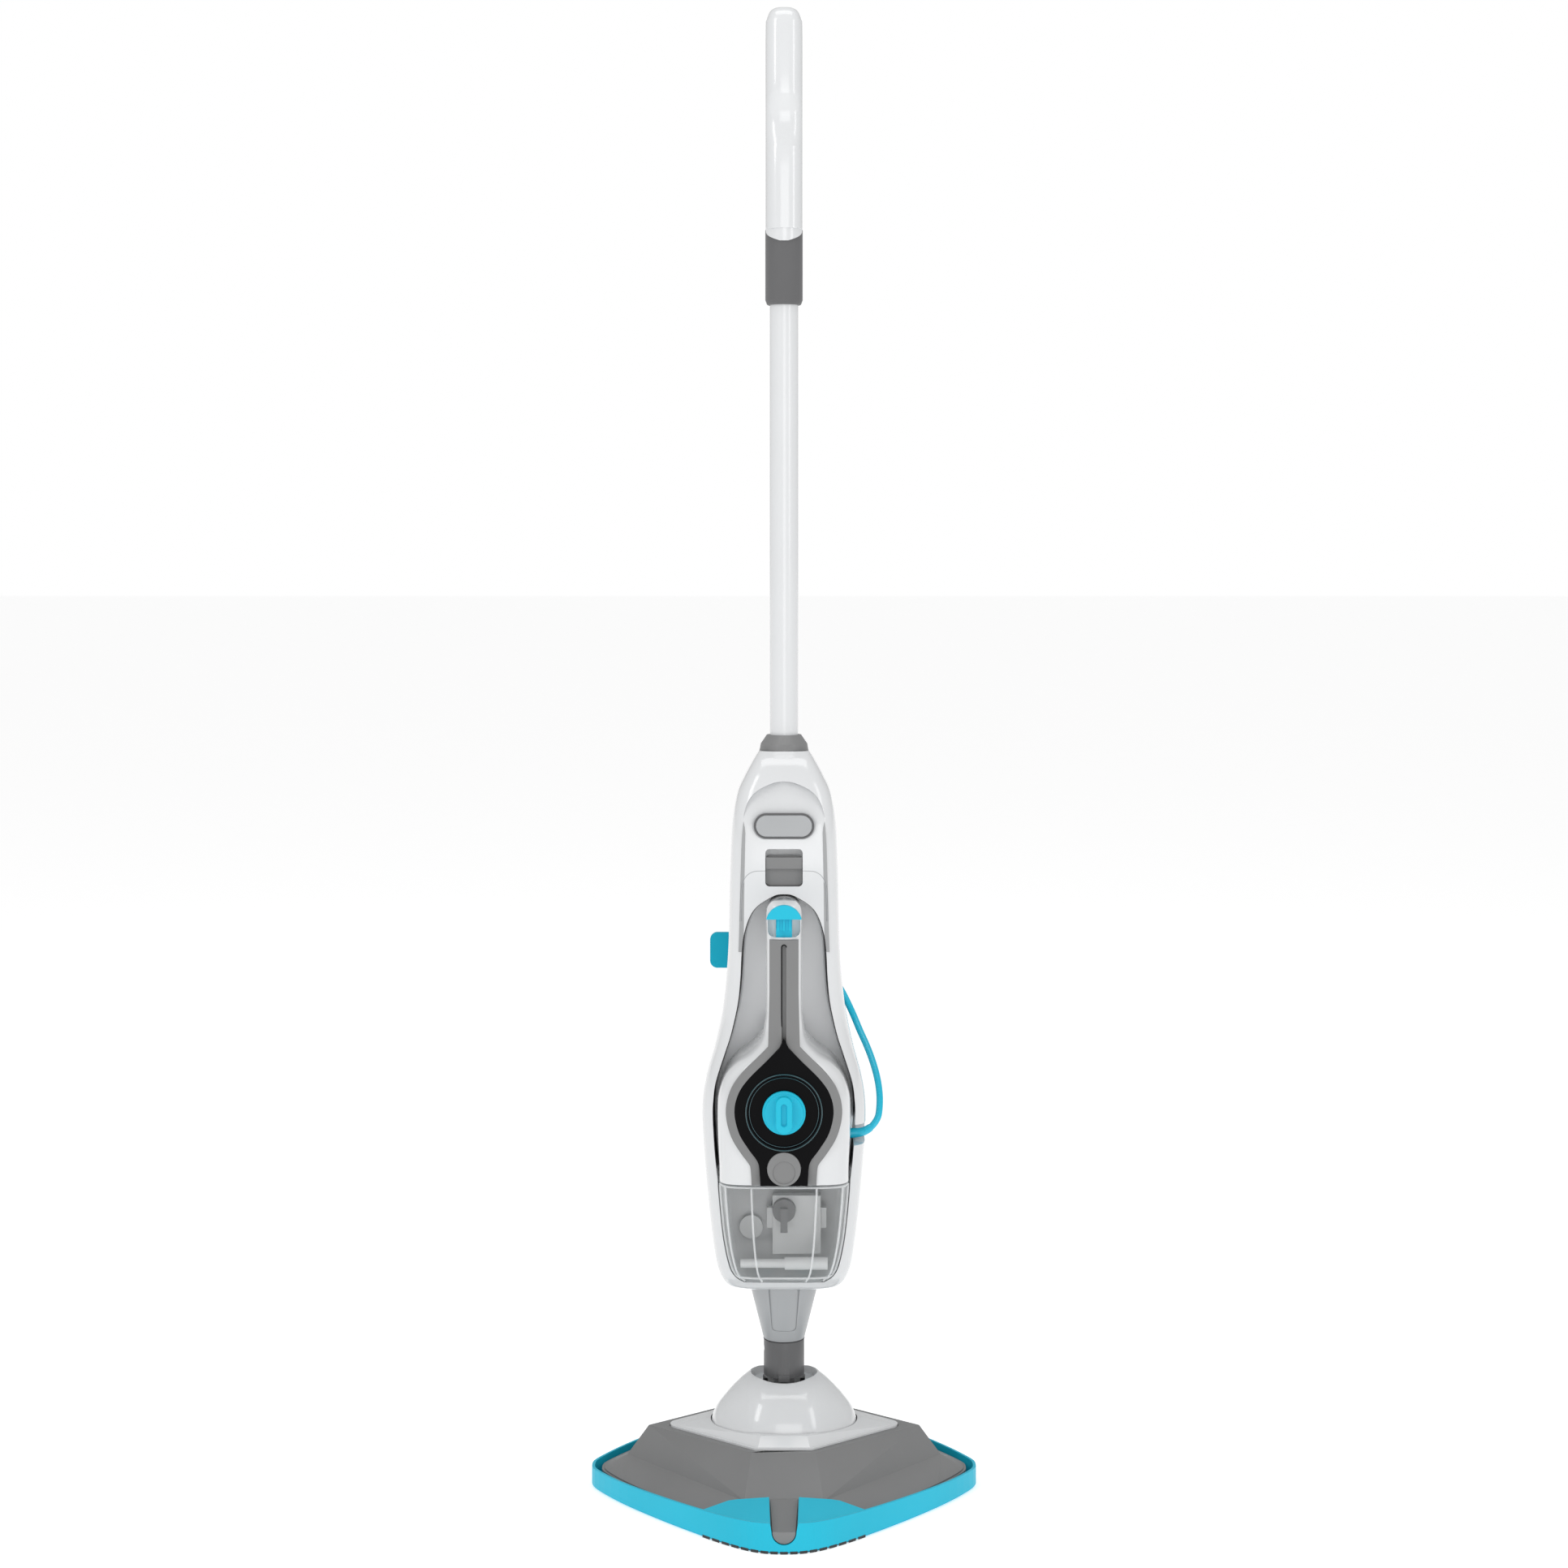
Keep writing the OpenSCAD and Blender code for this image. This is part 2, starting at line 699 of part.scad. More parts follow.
module pole_collar() {
    color(mid_grey) difference() {
        union() {
            translate([0, 0, collar_z + 2.1]) cylinder(r1 = 19.3, r2 = 18.4, h = 5);
            translate([0, 0, collar_z + 7]) cylinder(r1 = 18.4, r2 = 13.6, h = 7);
        }
        translate([0, 0, collar_z]) cylinder(r = pole_d / 2 + 0.02, h = 30);
    }
}

module pole_tube() {
    color(white) difference() {
        translate([0, 0, pole_bottom]) cylinder(r = pole_d / 2, h = sleeve_bottom + 40 - pole_bottom);
        translate([0, 0, pole_bottom - 1]) cylinder(r = pole_d / 2 - 1.2, h = 500);
    }
}

// ---- Hand grip ----
grip_bottom = total_h - grip_len;
recess_low = 1060;
recess_high = 1098;
// Side view of the grip as (Y, Z), with the finger recess in front.
grip_side = concat(
    smooth([[0, total_h], [-9, total_h - 2], [-14.5, total_h - 9], [-16, total_h - 24],
        [-16, recess_high + 8], [-14, recess_high - 3], [-11.5, recess_high - 14],
        [-11.5, recess_low + 12], [-14, recess_low + 2], [-16, recess_low - 8], [-16, grip_bottom]]),
    smooth([[16, grip_bottom], [17.5, grip_bottom + 40], [grip_depth - 16, 1090],
        [grip_depth - 16, 1125], [grip_depth - 18, total_h - 18], [13, total_h - 5],
        [5, total_h - 0.3]]));
grip_front = both_sides(concat([[0, total_h]], smooth([
    [5, total_h - 0.2], [10.5, total_h - 3], [13.6, total_h - 10], [grip_w / 2, total_h - 20],
    [grip_w / 2, 1080], [grip_w / 2, grip_bottom]]), [[0, grip_bottom]]));
grip_screw_z = [1020, 1140];

module grip_form() {
    intersection() {
        front_cut(grip_front, -30, 40);
        side_cut(grip_side, -30, 30);
        // Soft corners seen from above
        union() {
            translate([-grip_w / 2 + 5, -20, 900]) cube([grip_w - 10, 60, 300]);
            for (sx = [-1, 1])
                translate([sx * (grip_w / 2 - 9), 0, 900]) cylinder(r = 17, h = 300);
        }
    }
}

module grip_hollow() {
    translate([0, 0, grip_bottom - 1]) cylinder(r = pole_d / 2 + 0.02, h = 42);
    box([-grip_w / 2 + 2.6, -8.4, grip_bottom + 44], [grip_w / 2 - 2.6, 14, total_h - 14]);
    for (z = grip_screw_z) rod_y(1.6, 0, z, -8, 40);
}

grip_split_y = 0;
module grip_front_shell() {
    color(white) difference() {
        intersection() {
            grip_form();
            box([-40, -40, 900], [40, grip_split_y, 1200]);
        }
        grip_hollow();
    }
}

module grip_rear_shell() {
    color(white) difference() {
        intersection() {
            grip_form();
            box([-40, grip_split_y, 900], [40, 40, 1200]);
        }
        grip_hollow();
    }
}

module grip_sleeve() {
    color(dark_grey) difference() {
        union() {
            translate([0, 0, sleeve_bottom + 4]) cylinder(r = 14.8, h = sleeve_len - 4);
            translate([0, 0, sleeve_bottom]) cylinder(r1 = 13.4, r2 = 14.8, h = 4.02);
        }
        translate([0, 0, sleeve_bottom - 1]) cylinder(r = pole_d / 2 + 0.02, h = sleeve_len + 2);
    }
}

module rear_screws() {
    color([0.75, 0.75, 0.76]) {
        for (p = screw_places) {
            rod_y(1.55, p.x, p.y, bay_floor_y + 5, 40);
        }
        for (z = grip_screw_z)
            rod_y(1.55, 0, z, -7, 14.5);
    }
}

// ---- Handheld unit ----
bar_front_y = -68;
bar_back_y = -40;
fascia_front_y = -75;
unit_back_y = bay_floor_y - 1;
plate_front_y = 9.5;
insert_top_z = 441;
button_z = 266;
fascia_bottom_z = 253;
tank_valve_z = 219;
unit_outline = both_sides(concat(unit_half, [[0, unit_bottom_z]]));
tray_outline = both_sides(bay_half);

// Front view of the handle bar and the teardrop head under it.
bar_half = bar_w / 2;
bar_outline = both_sides(concat(
    [[0, 471.6]],
    smooth([[6, 470.4], [12, 466], [bar_half, 458], [bar_half, 440], [bar_half, 391],
        [14.6, 378], [17.6, 364], [26.2, 353.6], [37, 345.6], [45.6, 335], [50.8, 320.6],
        [51.8, 306], [51.4, 285], [50.4, 265], [50.2, unit_bottom_z]]),
    [[0, unit_bottom_z]]));

// Side view of the unit's front mass as (Y, Z).
unit_side = concat(
    smooth([[-24, 472], [-44, 470.5], [-58, 465], [-66, 456], [bar_front_y, 444],
        [bar_front_y, 384], [-70, 364], [-73.6, 340], [-73.6, 282], [-71, 262],
        [-68, unit_bottom_z]]),
    [[unit_back_y, unit_bottom_z], [unit_back_y, 472]]);

// Teardrop outline of the fascia, drawn in by inset all round.
function teardrop(inset) =
    shifted(both_sides(concat([[0, dial_z + 56]], smooth([
        [3.5, dial_z + 49], [13, dial_z + 39.3], [27, dial_z + 25.7],
        [fascia_r - 3, dial_z + 14], [fascia_r, dial_z], [fascia_r - 3.5, dial_z - 16],
        [27, dial_z - 28.5], [20, dial_z - 38.5], [18.6, dial_z - 48],
        [18.2, fascia_bottom_z]]), [[0, fascia_bottom_z]])), inset);

module unit_mass() {
    difference() {
        union() {
            // Back tray: fills the bay's outline behind the handle and behind the tank
            intersection() {
                front_cut(unit_outline, -12, unit_back_y);
                box([-80, -12, unit_bottom_z], [80, unit_back_y, 480]);
            }
            front_cut(tray_outline, plate_front_y, unit_back_y);
            intersection() {
                front_cut(bar_outline, -80, unit_back_y);
                side_cut(unit_side, -80, 80);
            }
            // Hood that joins the bar to the back tray at the top
            intersection() {
                front_cut(unit_outline, -30, unit_back_y);
                side_cut(unit_side, -80, 80);
                box([-80, -30, 452], [80, 20, 480]);
            }
        }
        // Finger gap behind the bar
        box([-80, bar_back_y, 380], [80, -12, 444]);
        rod_x(14, bar_back_y + 14, 380, -80, 80);
        unit_hollows();
    }
}

unit_screw_places = [[0, 462], [0, 412], [-4, 352], [-25, 257]];
module unit_hollows() {
    // Working space for the boiler, the pump and the valve
    box([-30, -60, 266], [30, unit_back_y - 2.5, 348]);
    box([-44, -58, 274], [44, unit_back_y - 2.5, 336]);
    // Trigger recess and the shaft behind it
    pad_y(0, 452, 25, 20, 5, -90, -58);
    box([-6.6, -66, 392], [6.6, -50, 450]);
    // Channel for the handle insert
    box([-11.3, -80, 352], [11.3, bar_front_y + 2, insert_top_z]);
    front_cut(teardrop(-6.8), -80, -71);
    front_cut(teardrop(0), -80, -68);
    // Shafts of the release button and of the dial
    rod_y(button_r + 0.25, 0, button_z, -80, -61);
    rod_y(4.3, 0, button_z, -80, -50);
    rod_y(5.2, 0, dial_z, -80, -50);
    // Openings for the steam spout, the cord, the feed hose and the tank seat
    rod_y(6.2, 0, socket_z, 0, 30);
    rod_x(5.1, cord_exit_y, cord_exit_z, 35, 80);
    box([-2.7, 10.5, tank_valve_z], [2.7, 20, 270]);
    rod_y(8.1, 0, tank_valve_z, 0, 20);
    for (p = unit_screw_places)
        rod_x(1.52, p.x, p.y, -9.1, 9.1);
}

module unit_left_shell() {
    color(white) intersection() {
        unit_mass();
        box([-80, -90, 160], [0, 30, 490]);
    }
}

module unit_right_shell() {
    color(white) intersection() {
        unit_mass();
        box([0, -90, 160], [80, 30, 490]);
    }
}

module handle_insert() {
    color(mid_grey) difference() {
        union() {
            box([-11.2, bar_front_y - 0.6, 354], [11.2, bar_front_y + 1.9, insert_top_z - 0.2]);
            box([-11.2, -74.2, 354], [11.2, bar_front_y + 1.9, 372]);
            front_cut(teardrop(-6.7), -74.6, -71.1);
        }
        front_cut(teardrop(-0.05), -80, -60);
        box([-60, -80, 200], [60, -60, unit_bottom_z + 0.3]);
        // Slot down the middle
        box([-1.3, -80, 350], [1.3, bar_front_y + 0.8, insert_top_z - 3]);
    }
}

module fascia() {
    color([0.03, 0.03, 0.035]) difference() {
        front_cut(teardrop(0.05), fascia_front_y, -68.1);
        rod_y(29.6, 0, dial_z, -90, -72);
        rod_y(5.2, 0, dial_z, -90, -50);
        rod_y(button_r + 0.25, 0, button_z, -90, -50);
    }
}

module dial_ring() {
    color([0.05, 0.07, 0.08]) difference() {
        rod_y(29.5, 0, dial_z, -76.2, -72.1);
        rod_y(27.4, 0, dial_z, -90, -74.2);
        rod_y(5.2, 0, dial_z, -90, -50);
    }
}

// Control knob with a grip bar, a slot along the bar and a shaft behind.
module dial_knob() {
    color(turquoise) difference() {
        union() {
            rod_y(dial_r, 0, dial_z, -79, -74.6);
            rod_y(dial_r - 1.6, 0, dial_z, -80.4, -78.9);
            pad_y(0, dial_z, 12.6, 28, 6.2, -88, -80);
            rod_y(5.1, 0, dial_z, -75, -61);
        }
        pad_y(0, dial_z, 4.2, 17, 2, -90, -85.5);
    }
}

module tank_button() {
    color(mid_grey) difference() {
        union() {
            rod_y(button_r, 0, button_z, -76.4, -66);
            rod_y(4.2, 0, button_z, -66.5, -56);
        }
        rod_y(8.6, 0, button_z - 2.6, -80, -75.6);
    }
}

trigger_base_z = 457.2;
module trigger() {
    color(turquoise) union() {
        // Thumb pad: a half-dome with a flat underside, standing in front of the bar
        intersection() {
            rod_y(13.9, 0, trigger_base_z - 3.2, -74, bar_front_y - 0.4);
            box([-14, -80, trigger_base_z], [14, -60, trigger_base_z + 20]);
        }
        // Stem with three ribs, bare for a little more than the travel, and the slider behind it
        box([-5.2, -70, trigger_base_z - trigger_travel - 3.7], [5.2, -64, trigger_base_z + 1]);
        for (x = [-4.6, 0, 4.6])
            translate([x, -70.6, 452.5]) cube([1.2, 2, 9], center = true);
        box([-6.2, -65, 438], [6.2, -60, trigger_base_z]);
    }
}

module trigger_spring() {
    color([0.75, 0.75, 0.76]) translate([0, -62.5, 423]) spring_sleeve(2.4, 1.5, 15);
}

module button_spring() {
    color([0.75, 0.75, 0.76]) difference() {
        rod_y(7, 0, button_z, -65.9, -61.1);
        rod_y(5.8, 0, button_z, -70, -50);
    }
}

module trigger_switch() {
    color([0.10, 0.10, 0.11]) union() {
        box([-6, -65, 402], [6, -52, 418]);
        box([-4, -65, 418], [4, -59.6, 423]);
        box([-2, -57, 418], [2, -53, 426]);
    }
}

module boiler() {
    color([0.66, 0.67, 0.68]) union() {
        rod_y(22, 0, dial_z, -36, 4);
        rod_y(25, 0, dial_z, -20, -14);
        translate([-16, -24, 272]) cylinder(r = 4, h = 26);
    }
}

module pump() {
    color([0.13, 0.14, 0.15]) union() {
        box([16, -48, 277], [40, -38, 299]);
        rod_x(4, -43, 288, 6, 16.2);
    }
}

module thermostat() {
    color([0.84, 0.83, 0.78]) union() {
        translate([0, -17, dial_z + 25.1]) cylinder(r = 8, h = 6);
        box([-12, -19, dial_z + 26], [12, -15, dial_z + 27.5]);
    }
}

module steam_spout() {
    color([0.15, 0.15, 0.16]) difference() {
        union() {
            rod_y(6.1, 0, socket_z, 4.1, unit_back_y);
            rod_y(3.95, 0, socket_z, unit_back_y - eps, 30);
        }
        rod_y(2, 0, socket_z, 4, 40);
    }
}

// Feed from the tank seat, up the back tray and forward to the pump.
module feed_hose() {
    color([0.88, 0.88, 0.84]) union() {
        box([-2.4, 10.7, tank_valve_z + 8.3], [2.4, 13.7, 269.5]);
        box([-2.4, -46, 266.2], [2.4, 13.7, 269.5]);
        box([-2.4, -46, 266.2], [2.4, -40, 291]);
        rod_x(2.4, -43, 288, 2, 5.9);
    }
}

gland_face_x = 55;
module cord_gland() {
    color([0.10, 0.10, 0.11]) difference() {
        union() {
            rod_x(5, cord_exit_y, cord_exit_z, 43.9, gland_face_x);
            rod_x(7, cord_exit_y, cord_exit_z, 40, 43.9);
        }
        rod_x(cord_d / 2 + 0.1, cord_exit_y, cord_exit_z, 46, 70);
    }
}

// Seat that the tank's valve plugs on, held in the plate behind the tank.
module tank_seat() {
    color(dark_grey) difference() {
        union() {
            rod_y(8, 0, tank_valve_z, plate_front_y, unit_back_y);
            rod_y(2.9, 0, tank_valve_z, 3, plate_front_y + 1);
        }
        rod_y(1.4, 0, tank_valve_z, 2, 12.5);
        translate([0, 12, tank_valve_z]) cylinder(r = 1.4, h = 12);
    }
}

module unit_screws() {
    color([0.75, 0.75, 0.76]) for (p = unit_screw_places)
        rod_x(1.5, p.x, p.y, -9, 9);
}

// ---- Water tank ----
tank_back_y = 9.2;
tank_wall = 1.8;
tank_outline = shifted(both_sides(concat([[0, tank_top_z]], tank_half, [[0, tank_bottom_z]])), 0.3);
// Side view of the tank as (Y, Z); the front leans back towards the foot.
tank_side = concat(
    smooth([[-66, tank_top_z - 0.3], [-65, 236], [-61, 208], [-55, 186], [-50, 175],
        [-46, tank_bottom_z + 0.3]]),
    [[tank_back_y, tank_bottom_z + 0.3], [tank_back_y, tank_top_z - 0.3]]);
filler_x = -26;
filler_z = 203;

module tank_form(front_profile, side_profile) {
    intersection() {
        front_cut(front_profile, -90, 40);
        side_cut(side_profile, -80, 80);
    }
}

module tank_shell() {
    color(clear) difference() {
        tank_form(tank_outline, tank_side);
        tank_form(shifted(tank_outline, tank_wall), shifted(tank_side, -tank_wall));
        // Valve neck and filler mouth
        rod_y(9.1, 0, tank_valve_z, 5, 20);
        rod_y(7.1, filler_x, filler_z, 5, 20);
    }
}

module tank_valve() {
    color(dark_grey) difference() {
        union() {
            rod_y(9, 0, tank_valve_z, -12, tank_back_y - 0.1);
            rod_y(10.5, 0, tank_valve_z, 5.3, tank_back_y - tank_wall - 0.1);
            // Spout in front of the valve, down into the water
            box([-2.8, -16.5, tank_valve_z - 16], [2.8, -11, tank_valve_z + 2.8]);
        }
        rod_y(2.98, 0, tank_valve_z, 0, 20);
        rod_y(1.5, 0, tank_valve_z, -13.8, 1);
        translate([0, -13.8, tank_valve_z - 20]) cylinder(r = 1.5, h = 20);
    }
}

module filter_cartridge() {
    color([0.84, 0.85, 0.85]) difference() {
        union() {
            box([-9, -6, 184], [29, 4.6, 230]);
            box([-13.5, -4, 204], [33.5, 3, 220]);
        }
        // Room for the valve
        rod_y(9.3, 0, tank_valve_z, -10, 10);
    }
}

module pickup_tube() {
    color([0.93, 0.93, 0.92]) union() {
        rod_x(3.4, -36, 184, -34, 1);
        rod_x(4.9, -36, 184, 0.5, 34);
    }
}

module filler_cap() {
    color([0.90, 0.90, 0.90]) union() {
        rod_y(7, filler_x, filler_z, 6, tank_back_y - 0.3);
        rod_y(9.2, filler_x, filler_z, 3.5, tank_back_y - tank_wall - 0.1);
    }
}

// ---- Cord ----

// Ring of points round a route point, square to the route.
function ring_at(points, i, r, sides) =
    let (
        n = len(points),
        ahead = points[min(i + 1, n - 1)] - points[max(i - 1, 0)],
        t = ahead / norm(ahead),
        side = cross(t, [0.3, 0.2, 0.93]),
        u = side / norm(side),
        v = cross(t, u))
    [for (k = [0:sides - 1])
        points[i] + r * (cos(360 * k / sides) * u + sin(360 * k / sides) * v)];

// One closed tube swept along the route.
module swept_tube(points, r, sides) {
    n = len(points);
    rings = [for (i = [0:n - 1]) each ring_at(points, i, r, sides)];
    walls = [for (i = [0:n - 2], k = [0:sides - 1])
        let (a = i * sides + k, b = i * sides + (k + 1) % sides)
        each [[a, b, b + sides], [a, b + sides, a + sides]]];
    start_cap = [for (k = [sides - 1:-1:0]) k];
    end_cap = [for (k = [0:sides - 1]) (n - 1) * sides + k];
    polyhedron(points = rings, faces = concat([start_cap], walls, [end_cap]), convexity = 6);
}

plug_x = 17.6;
plug_z = 315;
// Free stretch: from the gland in the handheld unit's side, out, up and round to the back.
lead_route = [
    [55.2, -18, 282], [62, -17.3, 283], [68.1, -15.4, 285.9], [72.5, -12.5, 290.4],
    [74.9, -8.9, 295.8], [75.8, -1, 307], [74.4, 8, 319], [71, 18, 331], [66.5, 29, 342],
    [61, 40, 353], [55.5, 50, 365], [48.5, 55.5, 379], [41, 56.2, 392], [35, 56.2, 405]];
// Tail: out of the wound cord to the plug on its back.
tail_route = [
    [-33.2, 72.8, 385], [-33.2, 73.2, 350], [-33.2, 76.5, 330], [-33.2, 81.5, 312],
    [-33.2, 85, 296], [-31.6, 85, 278], [-25.8, 85, 268], [-17, 85, 262], [-8, 85, 260.5],
    [1, 85, 262], [10, 85, 268], [16, 85, 278], [plug_x, 85, plug_z - 24]];

module cord_lead() {
    color(turquoise) swept_tube(smooth(lead_route, 3), cord_d / 2, 10);
}

module cord_tail() {
    color(turquoise) swept_tube(smooth(tail_route, 3), cord_d / 2, 10);
}

hank_in = 19.1;
hank_out = 36.1;
module racetrack(r, y_front, y_back) {
    for (z = [lower_post_z, upper_post_z]) rod_y(r, 0, z, y_front, y_back);
    box([-r, y_front, lower_post_z], [r, y_back, upper_post_z]);
}

module cord_hank() {
    color(turquoise) difference() {
        racetrack(hank_out, hank_front, hank_back);
        racetrack(hank_in, hank_front - 1, hank_back + 1);
    }
}

// The plug lies on the back of the wound cord, its pins away from the body.
module plug() {
    color(turquoise) union() {
        pad_y(plug_x, plug_z, 48, 48, 12, hank_back + 0.2, 94);
        rod_y(8, plug_x, plug_z, 94, 96);
    }
}

module plug_pins() {
    color(brass) {
        box([plug_x - 2, 96.1, plug_z + 6], [plug_x + 2, 118, plug_z + 14]);
        for (sx = [-1, 1])
            box([plug_x + sx * 11 - 3, 96.1, plug_z - 10], [plug_x + sx * 11 + 3, 113, plug_z - 6]);
    }
}

// ---- Every piece in its place ----
carpet_glider();
microfibre_pad();
sole_plate();
head_base();
head_top_plate();
trunnion_caps();
steam_nozzle();
head_screws();
swivel_dome();
swivel_pin();
swivel_yoke();
neck_tube();
cone_neck();
back_shell();
front_frame();
docking_bay();
badge_plate();
steam_socket();
socket_seal();
body_steam_pipe();
latch_spring();
lower_cord_hook();
pole_collar();
pole_tube();
grip_sleeve();
grip_front_shell();
grip_rear_shell();
rear_screws();
unit_latch();
upper_cord_hook();
unit_left_shell();
unit_right_shell();
handle_insert();
fascia();
dial_ring();
boiler();
pump();
thermostat();
steam_spout();
feed_hose();
trigger_switch();
cord_gland();
tank_seat();
unit_screws();
trigger_spring();
button_spring();
trigger();
dial_knob();
tank_button();
tank_shell();
tank_valve();
filter_cartridge();
pickup_tube();
filler_cap();
cord_lead();
cord_hank();
cord_tail();
plug();
plug_pins();
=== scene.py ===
"""Looks of the upright steam mop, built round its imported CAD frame.

Shapes are worked out in millimetres, and new_object turns them into metres. The camera, the lights
and the floor are in metres. The front faces -Y.
"""
import math
import bmesh
import bpy
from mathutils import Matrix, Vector, noise


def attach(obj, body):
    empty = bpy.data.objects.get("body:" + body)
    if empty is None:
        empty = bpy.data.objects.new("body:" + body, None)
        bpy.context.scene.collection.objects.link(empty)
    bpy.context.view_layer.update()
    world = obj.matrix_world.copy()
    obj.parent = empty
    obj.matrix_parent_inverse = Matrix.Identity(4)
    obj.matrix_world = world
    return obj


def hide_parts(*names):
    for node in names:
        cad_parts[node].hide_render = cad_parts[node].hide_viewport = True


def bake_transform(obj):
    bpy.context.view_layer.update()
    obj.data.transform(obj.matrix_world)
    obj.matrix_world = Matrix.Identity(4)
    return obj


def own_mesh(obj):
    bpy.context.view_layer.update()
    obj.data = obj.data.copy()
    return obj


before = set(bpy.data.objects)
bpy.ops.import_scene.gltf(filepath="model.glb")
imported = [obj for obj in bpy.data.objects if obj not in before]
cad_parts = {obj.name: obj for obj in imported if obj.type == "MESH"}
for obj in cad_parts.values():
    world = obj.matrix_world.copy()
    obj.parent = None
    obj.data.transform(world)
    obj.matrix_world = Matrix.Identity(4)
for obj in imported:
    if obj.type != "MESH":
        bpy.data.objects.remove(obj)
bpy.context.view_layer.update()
MM = 0.001

# ---- Colours (linear light) ----
WHITE = (0.70, 0.71, 0.72)
SILVER = (0.40, 0.41, 0.42)
PANEL = (0.34, 0.345, 0.35)
MID_GREY = (0.205, 0.206, 0.207)
DARK_GREY = (0.112, 0.112, 0.115)
TURQUOISE = (0.012, 0.49, 0.67)
CORD_BLUE = (0.0, 0.50, 0.70)
HOOK_BLUE = (0.0, 0.40, 0.55)
BLACK = (0.003, 0.003, 0.0035)


# ---- Curves and outlines, in millimetres ----
def smooth(points, steps=6):
    """A smooth open curve through every point."""
    out = []
    last = len(points) - 1
    for i in range(last):
        a, b = Vector(points[max(i - 1, 0)]), Vector(points[i])
        c, d = Vector(points[i + 1]), Vector(points[min(i + 2, last)])
        for s in range(steps):
            t = s / steps
            out.append(0.5 * (2 * b + (c - a) * t + (2 * a - 5 * b + 4 * c - d) * t * t
                              + (3 * b - a - 3 * c + d) * t ** 3))
    out.append(Vector(points[last]))
    return out


def both_sides(half):
    """A right-hand half outline from top to bottom, closed by its mirror image."""
    return list(half) + [Vector((-p[0], p[1])) for p in reversed(half) if p[0] > 0.01]


def shifted(outline, dist):
    """A closed outline moved by dist to the right of its direction of travel."""
    out = []
    for i, here in enumerate(outline):
        before, after = outline[i - 1], outline[(i + 1) % len(outline)]
        d = (here - before).normalized() + (after - here).normalized()
        d.normalize()
        out.append(here + dist * Vector((d.y, -d.x)))
    return out


def across(profile, z):
    """The first coordinate of a profile of (value, z) points at height z."""
    rising = profile[-1][1] > profile[0][1]
    points = profile if rising else list(reversed(profile))
    if z <= points[0][1]:
        return points[0][0]
    for low, high in zip(points, points[1:]):
        if z <= high[1]:
            t = (z - low[1]) / max(high[1] - low[1], 1e-6)
            return low[0] + t * (high[0] - low[0])
    return points[-1][0]


def rounded_box(x, z, w, h, r, steps=8):
    """Outline of a rectangle with round corners, seen from the front."""
    out = []
    for cx, cz, start in ((1, 1, 0), (-1, 1, 90), (-1, -1, 180), (1, -1, 270)):
        for k in range(steps + 1):
            a = math.radians(start + 90 * k / steps)
            out.append(Vector((x + cx * (w / 2 - r) + r * math.cos(a),
                               z + cz * (h / 2 - r) + r * math.sin(a))))
    return out


def arc(start, end, steps=14):
    """Evenly spaced angles in radians, between two in degrees."""
    return [math.radians(start + (end - start) * k / steps) for k in range(steps + 1)]


def full_turn(steps):
    """Evenly spaced angles in radians, once round."""
    return [2 * math.pi * k / steps for k in range(steps)]


def circle(x, z, r, steps=64):
    """Outline of a circle, seen from the front."""
    return [Vector((x + r * math.cos(a), z + r * math.sin(a))) for a in full_turn(steps)]


def ease(t):
    """Goes smoothly from 0 to 1 as t does, and stays level beyond them."""
    t = min(max(t, 0), 1)
    return t * t * (3 - 2 * t)


# ---- Meshes ----
BEVEL_ANGLE = 32
SPLIT_ANGLE = 35


def new_object(name, verts, faces):
    """An object from points in millimetres."""
    mesh = bpy.data.meshes.new(name)
    mesh.from_pydata([Vector(v) * MM for v in verts], [], faces)
    obj = bpy.data.objects.new(name, mesh)
    bpy.context.collection.objects.link(obj)
    edit = bmesh.new()
    edit.from_mesh(mesh)
    bmesh.ops.recalc_face_normals(edit, faces=edit.faces)
    edit.to_mesh(mesh)
    edit.free()
    return obj


def loft(name, rings):
    """A closed solid through rings of equally many points."""
    n = len(rings[0])
    verts = [p for ring in rings for p in ring]
    faces = [tuple(reversed(range(n)))]
    for i in range(len(rings) - 1):
        for k in range(n):
            a, b = i * n + k, i * n + (k + 1) % n
            faces.append((a, b, b + n, a + n))
    faces.append(tuple(range((len(rings) - 1) * n, len(rings) * n)))
    return new_object(name, verts, faces)


def prism(name, outline, y_front, y_back):
    """An outline seen from the front, between two depths."""
    return loft(name, [[(p[0], y, p[1]) for p in outline] for y in (y_front, y_back)])


def box_prism(name, x_low, x_high, z_low, z_high, y_front, y_back):
    """A plain box, given by its sides."""
    outline = [(x_low, z_low), (x_high, z_low), (x_high, z_high), (x_low, z_high)]
    return prism(name, outline, y_front, y_back)


def lathe(name, profile, steps=96):
    """A solid of revolution about Z from (radius, z) points."""
    turn = full_turn(steps)
    return loft(name, [[(r * math.cos(a), r * math.sin(a), z) for a in turn] for r, z in profile])


def tube(name, path, radius, sides=14, end_radius=None):
    """A round tube along a path of points, which may taper to another radius at its end."""
    end_radius = end_radius or radius
    points = [Vector(p) for p in path]
    side = Vector((0, 0, 1))
    rings = []
    for i, here in enumerate(points):
        along = (points[min(i + 1, len(points) - 1)] - points[max(i - 1, 0)]).normalized()
        side = (side - along * side.dot(along)).normalized()
        other = along.cross(side)
        r = radius + (end_radius - radius) * i / (len(points) - 1)
        rings.append([here + r * (math.cos(a) * side + math.sin(a) * other)
                      for a in full_turn(sides)])
    return loft(name, rings)


